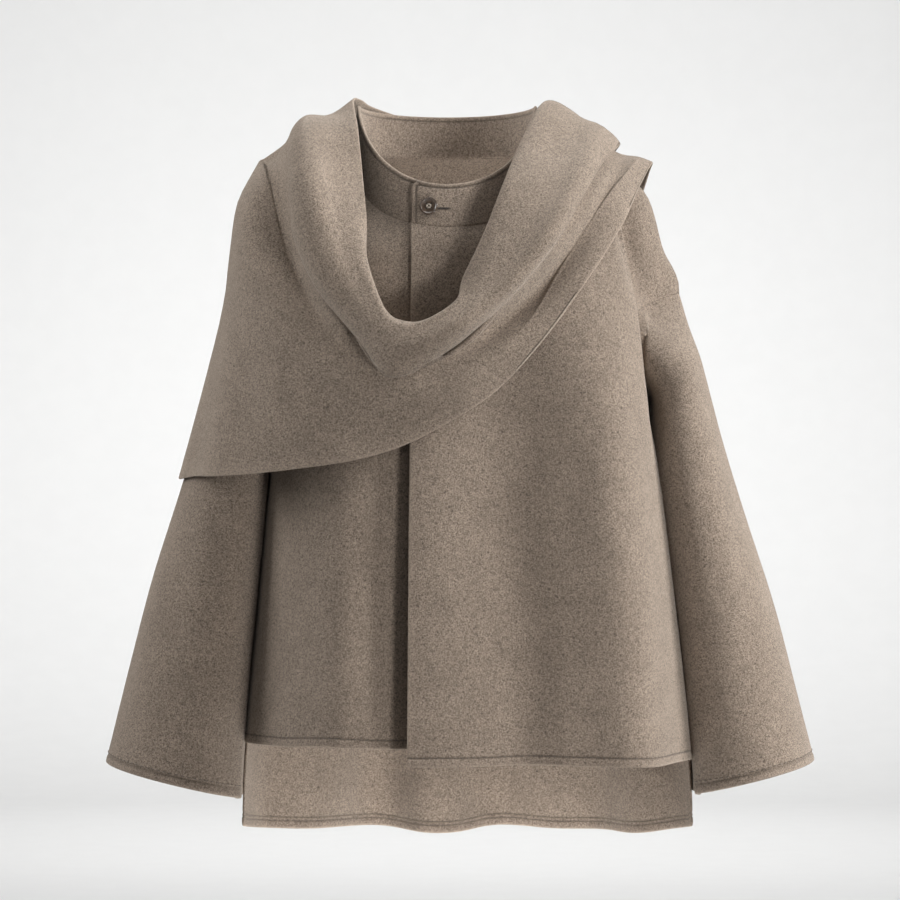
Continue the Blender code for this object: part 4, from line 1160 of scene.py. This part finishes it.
def horn_material(name, button):
    """Polished horn with darker streaks and fine scratches."""
    nodes = Nodes(name)
    stretch = nodes.tree.nodes.new("ShaderNodeMapping")
    stretch.inputs["Scale"].default_value = (1.0, 1.0, 3.5)
    stretch.inputs["Rotation"].default_value = (0.4, 0.0, 0.7)
    nodes.join(nodes.place, stretch.inputs["Vector"])
    streaks = nodes.noise(190.0, 4.0, 0.6, 2.5, stretch.outputs["Vector"])
    share = nodes.spread(streaks, 0.36, 0.64, 0.0, 1.0)
    cloud = nodes.spread(nodes.noise(420.0, 3.0), 0.35, 0.7, 0.0, 0.6)
    base = nodes.blend(share, button.dark_colour, button.colour)
    base = nodes.blend(cloud, base, button.light_colour)
    nodes.join(base, nodes.shader.inputs["Base Color"])
    scratch = nodes.noise(3200.0, 2.0, 0.7)
    nodes.join(nodes.spread(scratch, 0.3, 0.7, 0.2, 0.36), nodes.shader.inputs["Roughness"])
    nodes.join(nodes.bump(scratch, 0.00005, 0.35), nodes.shader.inputs["Normal"])
    nodes.shader.inputs["Coat Weight"].default_value = 0.25
    nodes.shader.inputs["Coat Roughness"].default_value = 0.2
    return nodes.material


def floor_material(name, colour):
    """Matt studio paper."""
    nodes = Nodes(name)
    grain = nodes.noise(18.0, 4.0)
    share = nodes.spread(grain, 0.3, 0.7, 0.0, 1.0)
    shade = tuple(0.985 * part for part in colour)
    nodes.join(nodes.blend(share, shade, tuple(colour)), nodes.shader.inputs["Base Color"])
    nodes.join(nodes.spread(grain, 0.3, 0.7, 0.85, 0.95), nodes.shader.inputs["Roughness"])
    return nodes.material


def material_once(name, make, *settings):
    """Material of this name, made the first time that it is asked for."""
    return bpy.data.materials.get(name) or make(name, *settings)


class CoatWool(PropertyGroup):
    """Wool of the coat and its sewing."""

    colour: FloatVectorProperty(
        name="Wool", description="Main colour of the coat's wool", subtype="COLOR",
        default=(0.223, 0.173, 0.132), min=0, max=1)
    # The dark fibres' colour also paints the shade along stitched lines, and the light fibres'
    # colour paints the highlight along free edges.
    dark_colour: FloatVectorProperty(
        name="Dark fibres", description="Darker fibres of the melange", subtype="COLOR",
        default=(0.058, 0.043, 0.032), min=0, max=1)
    light_colour: FloatVectorProperty(
        name="Light fibres", description="Lighter fibres and the nap on edges", subtype="COLOR",
        default=(0.543, 0.434, 0.344), min=0, max=1)
    thread_colour: FloatVectorProperty(
        name="Thread", description="Sewing thread of hems and collar", subtype="COLOR",
        default=(0.114, 0.085, 0.064), min=0, max=1)
    grain_scale: FloatProperty(
        name="Grain", description="Tufts of the felt in a metre", default=640.0, min=100,
        max=2000)
    relief: FloatProperty(
        name="Relief", description="How strongly the felt's tufts stand out", default=0.55,
        min=0, max=1)


class ShawlWool(PropertyGroup):
    """Wool of the shawl."""

    colour: FloatVectorProperty(
        name="Wool", description="Main colour of the shawl's wool", subtype="COLOR",
        default=(0.233, 0.181, 0.139), min=0, max=1)
    # The dark fibres' colour also paints the shade along stitched lines, and the light fibres'
    # colour paints the highlight along free edges.
    dark_colour: FloatVectorProperty(
        name="Dark fibres", description="Darker fibres of the melange", subtype="COLOR",
        default=(0.060, 0.045, 0.033), min=0, max=1)
    light_colour: FloatVectorProperty(
        name="Light fibres", description="Lighter fibres and the nap on edges", subtype="COLOR",
        default=(0.555, 0.446, 0.354), min=0, max=1)
    grain_scale: FloatProperty(
        name="Grain", description="Tufts of the felt in a metre", default=640.0, min=100,
        max=2000)
    relief: FloatProperty(
        name="Relief", description="How strongly the felt's tufts stand out", default=0.55,
        min=0, max=1)


class HornButton(PropertyGroup):
    """Button of the collar."""

    diameter: FloatProperty(
        name="Diameter", description="Across the button", default=2 * BUTTON_RADIUS * MM,
        min=0.01, max=0.03, subtype="DISTANCE", unit="LENGTH")
    colour: FloatVectorProperty(
        name="Horn", description="Main colour of the horn", subtype="COLOR",
        default=(0.072, 0.045, 0.029), min=0, max=1)
    dark_colour: FloatVectorProperty(
        name="Streaks", description="Dark streaks of the horn", subtype="COLOR",
        default=(0.028, 0.017, 0.011), min=0, max=1)
    light_colour: FloatVectorProperty(
        name="Clouds", description="Lighter clouds of the horn", subtype="COLOR",
        default=(0.120, 0.080, 0.054), min=0, max=1)
    thread_colour: FloatVectorProperty(
        name="Thread", description="Thread through the holes", subtype="COLOR",
        default=(0.52, 0.45, 0.37), min=0, max=1)


class Studio(PropertyGroup):
    """Backdrop, lights and camera."""

    floor_colour: FloatVectorProperty(
        name="Floor", description="Colour of the floor and backdrop", subtype="COLOR",
        default=(0.80, 0.80, 0.795), min=0, max=1)
    side_light: FloatProperty(
        name="Side lights", description="Power of the right side light", default=150.0,
        min=0, subtype="POWER", unit="POWER")
    top_light: FloatProperty(
        name="Top light", description="Power of the light overhead", default=35.0,
        min=0, subtype="POWER", unit="POWER")
    front_light: FloatProperty(
        name="Front light", description="Power of the soft lights in front and behind",
        default=10.0, min=0, subtype="POWER", unit="POWER")
    hem_light: FloatProperty(
        name="Hem light", description="Power of the light that reaches up inside the hem",
        default=1.5, min=0, subtype="POWER", unit="POWER")
    low_light: FloatProperty(
        name="Low light", description="Power of the light from low in front",
        default=23.0, min=0, subtype="POWER", unit="POWER")
    neck_light: FloatProperty(
        name="Neck light", description="Power of the light inside the neck",
        default=0.7, min=0, subtype="POWER", unit="POWER")
    backdrop_light: FloatProperty(
        name="Backdrop lights", description="Power of each light on the backdrop",
        default=58.0, min=0, subtype="POWER", unit="POWER")
    room_light: FloatProperty(
        name="Room", description="Brightness of the room all round", default=0.17, min=0)
    camera_height: FloatProperty(
        name="Camera height", description="Height of the camera over the part's origin",
        default=CAMERA_PLACE[2], subtype="DISTANCE", unit="LENGTH")


# Edges of a cloth: distances of the stitched lines, and whether the edge is free
PLAIN = ((), False)
FREE = ((), True)
HEMMED = ((HEM_LINE,), True)
PIPED = ((PIPED_LINE,), True)


def coat_material(context):
    """Wool of the coat."""
    return material_once("felted_coat_wool", wool_material, context.scene.cape_coat_wool)


def shawl_material(context):
    """Wool of the shawl."""
    return material_once("felted_shawl_wool", wool_material, context.scene.cape_coat_shawl)


def coat_thread(context):
    """Sewing thread of the coat."""
    return material_once("coat_thread", thread_material,
                         tuple(context.scene.cape_coat_wool.thread_colour))


class CAPECOAT_OT_back(Operator):
    """Make the back panel with its double stitched hem"""

    bl_idname = "cape_coat.back"
    bl_label = "Back"

    def execute(self, context):
        grid, normals = settle(push(back_cloth(), BACK_PUSHES), BACK_CREASES)
        edges = {"start": (BACK_HEM_LINES, True), "end": PLAIN, "first": PLAIN, "last": PLAIN}
        item, outer = cloth_piece("back_panel", grid, normals, edges, CLOTH,
                                  coat_material(context))
        threads = []
        for line in BACK_HEM_LINES:
            row = BACK_HEM_EDGE.index(line)
            threads.append(stitch_line(f"back_hem_stitches_{len(threads) + 1}", outer[row],
                                       normals[row], coat_thread(context)))
        dress(item, ["back"], threads)
        return {"FINISHED"}


class CAPECOAT_OT_fronts(Operator):
    """Make both front panels with their stitched hems"""

    bl_idname = "cape_coat.fronts"
    bl_label = "Fronts"

    def execute(self, context):
        for name, side, pushes, creases in (
                ("front_left", -1, LEFT_FRONT_PUSHES, LEFT_FRONT_CREASES),
                ("front_right", 1, RIGHT_FRONT_PUSHES, RIGHT_FRONT_CREASES)):
            grid, normals = settle(push(front_cloth(side), pushes), creases)
            edges = {"start": HEMMED, "end": PLAIN, "first": FREE, "last": PLAIN}
            item, outer = cloth_piece(f"{name}_panel", grid, normals, edges, CLOTH,
                                      coat_material(context))
            row = HEM_EDGE.index(HEM_LINE)
            thread = stitch_line(f"{name}_hem_stitches", outer[row], normals[row],
                                 coat_thread(context))
            dress(item, [name], [thread])
        return {"FINISHED"}


class CAPECOAT_OT_sleeves(Operator):
    """Make both sleeves with their stitched cuffs"""

    bl_idname = "cape_coat.sleeves"
    bl_label = "Sleeves"

    def execute(self, context):
        for name, table, side in (("sleeve_left", SLEEVE_LEFT, -1),
                                  ("sleeve_right", SLEEVE_RIGHT, 1)):
            grid = push(sleeve_cloth(table, side), SLEEVE_PUSHES)
            grid, normals = settle(grid, SLEEVE_CREASES, closed=True)
            edges = {"start": PLAIN, "end": HEMMED}
            item, outer = cloth_piece(f"{name}_cloth", grid, normals, edges, CLOTH,
                                      coat_material(context), closed=True)
            row = -1 - HEM_EDGE.index(HEM_LINE)
            ring = np.concatenate([outer[row], outer[row][:1]])
            thread = stitch_line(f"{name}_cuff_stitches", ring,
                                 np.concatenate([normals[row], normals[row][:1]]),
                                 coat_thread(context))
            dress(item, [name], [thread])
        return {"FINISHED"}


def buttonhole(thread, slit_shadow):
    """Whipped edge of the buttonhole, and a dark strip of painted shadow along its slit, on the
    collar's lapped end.
    """
    half = BODY_RINGS[-1][4]
    angle = np.degrees(np.arcsin(np.linspace(*BUTTONHOLE_ENDS, 16) / half)) - 360
    height = np.full_like(angle, BUTTONHOLE_HEIGHT)
    line = collar_surface(angle, height)
    up = unit(collar_surface(angle, height + 0.1) - line)
    normals = unit(np.cross(collar_surface(angle + 0.5, height) - line, up))
    line = line + normals * COLLAR_CLOTH / 2
    above = line + up * BUTTONHOLE_HALF
    below = line - up * BUTTONHOLE_HALF
    ring = np.concatenate([above, below[::-1], above[:1]])
    ring_normals = np.concatenate([normals, normals[::-1], normals[:1]])
    # The whipped edge, then a dark strip of painted shadow along the slit.
    return [stitch_line("buttonhole_edge", ring, ring_normals, thread, BUTTONHOLE_STITCH),
            stitch_line("buttonhole_slit", line, normals, slit_shadow, BUTTONHOLE_SLIT_SHADOW)]


class CAPECOAT_OT_collar(Operator):
    """Make the stand collar with its rolled edge and its buttonhole"""

    bl_idname = "cape_coat.collar"
    bl_label = "Collar"

    def execute(self, context):
        grid, normals = settle(collar_cloth(), (), height=COLLAR_RIPPLE)
        edges = {"start": PLAIN, "first": PLAIN, "end": PIPED, "last": PIPED}
        item, outer = cloth_piece("collar_band", grid, normals, edges, COLLAR_CLOTH,
                                  coat_material(context))
        line = -1 - PIPED_EDGE.index(PIPED_LINE)
        path = np.concatenate([outer[line, :line], outer[line::-1, line]])
        path_normals = np.concatenate([normals[line, :line], normals[line::-1, line]])
        thread = stitch_line("collar_stitches", path, path_normals, coat_thread(context),
                             COLLAR_STITCH)
        # Dark thread material that paints the shadow in the buttonhole's slit.
        slit_shadow = material_once("buttonhole_slit", thread_material, SLIT_SHADOW_COLOUR)
        threads = [thread, *buttonhole(coat_thread(context), slit_shadow)]
        dress(item, ["collar"], threads)
        return {"FINISHED"}


class CAPECOAT_OT_shawl(Operator):
    """Make the shawl in one length, draped over the coat"""

    bl_idname = "cape_coat.shawl"
    bl_label = "Shawl"

    def execute(self, context):
        carried = ("back", "front_left", "front_right", "sleeve_left", "sleeve_right", "collar")
        coat = surface_tree([frame["nodes"][name] for name in carried])
        grid, normals = settle(push(shawl_cloth(coat), SHAWL_PUSHES), SHAWL_CREASES)
        dressed = surface_tree([item for item in context.scene.objects
                                if item.name.endswith(("_panel", "_cloth", "_band"))])
        grid = lift_clear(grid, dressed, SHAWL_REST)
        normals = outward(grid, grid_normals(grid, False))
        edges = {"start": FREE, "end": FREE, "first": FREE, "last": FREE}
        item, _ = cloth_piece("shawl", grid, normals, edges, CLOTH, shawl_material(context))
        dress(item, ["shawl_back", "shawl_front", "shawl_tail"])
        return {"FINISHED"}


def button_place():
    """Middle of the button and its facing, on the collar's lapped end."""
    angle = np.degrees(np.arcsin(np.array(BUTTON_X / BODY_RINGS[-1][4]))) - 360
    height = np.array(BUTTON_HEIGHT_ON_COLLAR)
    seat = collar_surface(angle, height)
    up = collar_surface(angle, height + 0.2) - seat
    along = collar_surface(angle + 2, height) - collar_surface(angle - 2, height)
    normal = Vector(np.cross(along, up)).normalized()
    stand = COLLAR_CLOTH / 2 + SEAM + BUTTON_THICKNESS / 2
    turn = normal.to_track_quat("Z", "Y").to_matrix().to_4x4()
    return Matrix.Translation((Vector(seat) + normal * stand) * MM) @ turn


class CAPECOAT_OT_button(Operator):
    """Make the horn button and the thread through its four holes"""

    bl_idname = "cape_coat.button"
    bl_label = "Button"

    def execute(self, context):
        settings = context.scene.cape_coat_button
        horn = material_once("polished_horn", horn_material, settings)
        thread = material_once("button_thread", thread_material, tuple(settings.thread_colour))
        radius = settings.diameter / 2 / MM
        profile = [(0.0, -BUTTON_THICKNESS / 2),
                   *((radius - inward, high) for inward, high in BUTTON_SECTION),
                   (0.0, BUTTON_DISH_MIDDLE)]
        mesh = spun_mesh("horn_button", profile, MM)
        mesh.materials.append(horn)
        item = bpy.data.objects.new("horn_button", mesh)
        context.scene.collection.objects.link(item)
        work = bmesh.new()
        for turn in range(4):
            angle = math.radians(45 + 90 * turn)
            place = Matrix.Translation((BUTTON_HOLE_SPACING * MM * math.cos(angle),
                                        BUTTON_HOLE_SPACING * MM * math.sin(angle), 0))
            bmesh.ops.create_cone(work, cap_ends=True, segments=24,
                                  radius1=BUTTON_HOLE_RADIUS * MM,
                                  radius2=BUTTON_HOLE_RADIUS * MM,
                                  depth=3 * BUTTON_THICKNESS * MM, matrix=place)
        holes_mesh = bpy.data.meshes.new("button_holes")
        work.to_mesh(holes_mesh)
        work.free()
        holes = bpy.data.objects.new("button_holes", holes_mesh)
        context.scene.collection.objects.link(holes)
        cut = item.modifiers.new("holes", "BOOLEAN")
        cut.object = holes
        rounded = item.modifiers.new("rounded", "BEVEL")
        rounded.width = BUTTON_ROUNDING * MM
        rounded.segments = 2
        rounded.angle_limit = math.radians(55)
        context.view_layer.update()
        finished = bpy.data.meshes.new_from_object(
            item.evaluated_get(context.evaluated_depsgraph_get()))
        item.modifiers.clear()
        item.data = finished
        bpy.data.objects.remove(holes)
        finished.transform(button_place())
        finished.shade_smooth()
        finished.set_sharp_from_angle(angle=math.radians(50))
        cross = self.thread_cross(thread)
        dress(item, ["button"], [cross])
        return {"FINISHED"}

    def thread_cross(self, material):
        """Two strands of thread from each hole to the next one."""
        place = button_place()
        floor = BUTTON_THICKNESS / 2 - BUTTON_DISH
        reach = BUTTON_HOLE_SPACING / math.sqrt(2) - STRAND_INSET
        verts = []
        faces = []
        sides, steps = 8, 10
        for turn in range(4):
            spin = Matrix.Rotation(math.radians(90 * turn), 4, "Z")
            for offset in (-STRAND_OFFSET, STRAND_OFFSET):
                faces += tube_faces(len(verts), steps + 1, sides)
                for step in range(steps + 1):
                    share = step / steps
                    across = reach * (2 * share - 1)
                    rise = STRAND_RISE * math.sin(math.pi * share) ** 0.6 - STRAND_SINK
                    for corner in range(sides):
                        angle = math.tau * corner / sides
                        point = Vector((across, reach + offset + STRAND_RADIUS * math.cos(angle),
                                        floor + rise + STRAND_RADIUS * math.sin(angle)))
                        verts.append(place @ (spin @ point * MM))
        mesh = bpy.data.meshes.new("button_thread_cross")
        mesh.from_pydata(verts, [], faces)
        return smooth_object("button_thread_cross", mesh, material)


def area_light(name, place, target, size, power):
    """Soft rectangular light that looks at a point and doesn't show itself."""
    light = bpy.data.lights.new(name, "AREA")
    light.shape = "RECTANGLE"
    light.size, light.size_y = size
    light.energy = power
    item = bpy.data.objects.new(name, light)
    item.location = place
    item.rotation_mode = "QUATERNION"
    item.rotation_quaternion = (Vector(place) - Vector(target)).to_track_quat("Z", "Y")
    item.visible_camera = False
    bpy.context.scene.collection.objects.link(item)
    return item


class CAPECOAT_OT_studio(Operator):
    """Make the pale floor and backdrop, the soft lights and the camera"""

    bl_idname = "cape_coat.studio"
    bl_label = "Studio"

    def execute(self, context):
        studio = context.scene.cape_coat_studio
        profile = [(0.0, FLOOR_Z), (FLOOR_REACH, FLOOR_Z)]
        for step in range(1, SWEEP_STEPS + 1):
            angle = math.radians(90 * step / SWEEP_STEPS)
            profile.append((FLOOR_REACH + SWEEP_CURVE * math.sin(angle),
                            FLOOR_Z + SWEEP_CURVE * (1 - math.cos(angle))))
        profile.append((FLOOR_REACH + SWEEP_CURVE, SWEEP_TOP))
        sweep = smooth_object("studio_sweep", spun_mesh("studio_sweep", profile, 1.0),
                              material_once("studio_paper", floor_material,
                                            tuple(studio.floor_colour)))
        sweep.visible_diffuse = False
        for name, place, target, size, setting, share in LIGHTS:
            area_light(name, place, target, size, share * getattr(studio, setting))
        for turn in range(BACKDROP_LIGHTS):
            angle = math.radians(90 + 360 * turn / BACKDROP_LIGHTS)
            way = Vector((math.cos(angle), math.sin(angle), 0.0))
            place, target = (way * out + Vector((0, 0, high))
                             for out, high in (BACKDROP_RING, BACKDROP_TARGET))
            lamp = area_light(f"backdrop_light_{turn + 1}", place, target, BACKDROP_SIZE,
                              studio.backdrop_light)
            lamp.data.spread = math.radians(BACKDROP_SPREAD)
        world = bpy.data.worlds.new("studio_room")
        world.use_nodes = True
        background = world.node_tree.nodes["Background"]
        background.inputs["Color"].default_value = (1.0, 1.0, 1.0, 1.0)
        background.inputs["Strength"].default_value = studio.room_light
        context.scene.world = world
        camera = bpy.data.cameras.new("camera")
        camera.lens = CAMERA_LENS
        camera.sensor_width = CAMERA_SENSOR
        camera.clip_end = CAMERA_REACH
        item = bpy.data.objects.new("camera", camera)
        item.location = (CAMERA_PLACE[0], CAMERA_PLACE[1], studio.camera_height)
        item.rotation_euler = (math.radians(90), 0, 0)
        context.scene.collection.objects.link(item)
        context.scene.camera = item
        context.scene.view_settings.view_transform = "Standard"
        return {"FINISHED"}


STEPS = (CAPECOAT_OT_studio, CAPECOAT_OT_collar, CAPECOAT_OT_back, CAPECOAT_OT_fronts,
         CAPECOAT_OT_sleeves, CAPECOAT_OT_shawl, CAPECOAT_OT_button)
SETTINGS = {"cape_coat_wool": CoatWool, "cape_coat_shawl": ShawlWool,
            "cape_coat_button": HornButton, "cape_coat_studio": Studio}


class CAPECOAT_PT_panel(Panel):
    """Settings and steps of the cape coat"""

    bl_label = "Cape Coat"
    bl_space_type = "VIEW_3D"
    bl_region_type = "UI"
    bl_category = "Cape Coat"

    def draw(self, context):
        for name, kind in SETTINGS.items():
            box = self.layout.box()
            box.label(text=kind.__doc__.rstrip("."))
            for key in kind.__annotations__:
                box.prop(getattr(context.scene, name), key)
        for step in STEPS:
            self.layout.operator(step.bl_idname)


def register():
    """Add the settings, the steps and the panel."""
    for kind in (*SETTINGS.values(), *STEPS, CAPECOAT_PT_panel):
        bpy.utils.register_class(kind)
    for name, kind in SETTINGS.items():
        setattr(bpy.types.Scene, name, PointerProperty(type=kind))


def unregister():
    """Take the settings, the steps and the panel away again."""
    for name in SETTINGS:
        delattr(bpy.types.Scene, name)
    for kind in (CAPECOAT_PT_panel, *reversed(STEPS), *reversed(tuple(SETTINGS.values()))):
        bpy.utils.unregister_class(kind)


def main():
    """Make the whole coat and its studio."""
    register()
    bpy.ops.cape_coat.studio()
    bpy.ops.cape_coat.collar()
    bpy.ops.cape_coat.back()
    bpy.ops.cape_coat.fronts()
    bpy.ops.cape_coat.sleeves()
    bpy.ops.cape_coat.shawl()
    bpy.ops.cape_coat.button()


if __name__ == "__main__":
    main()
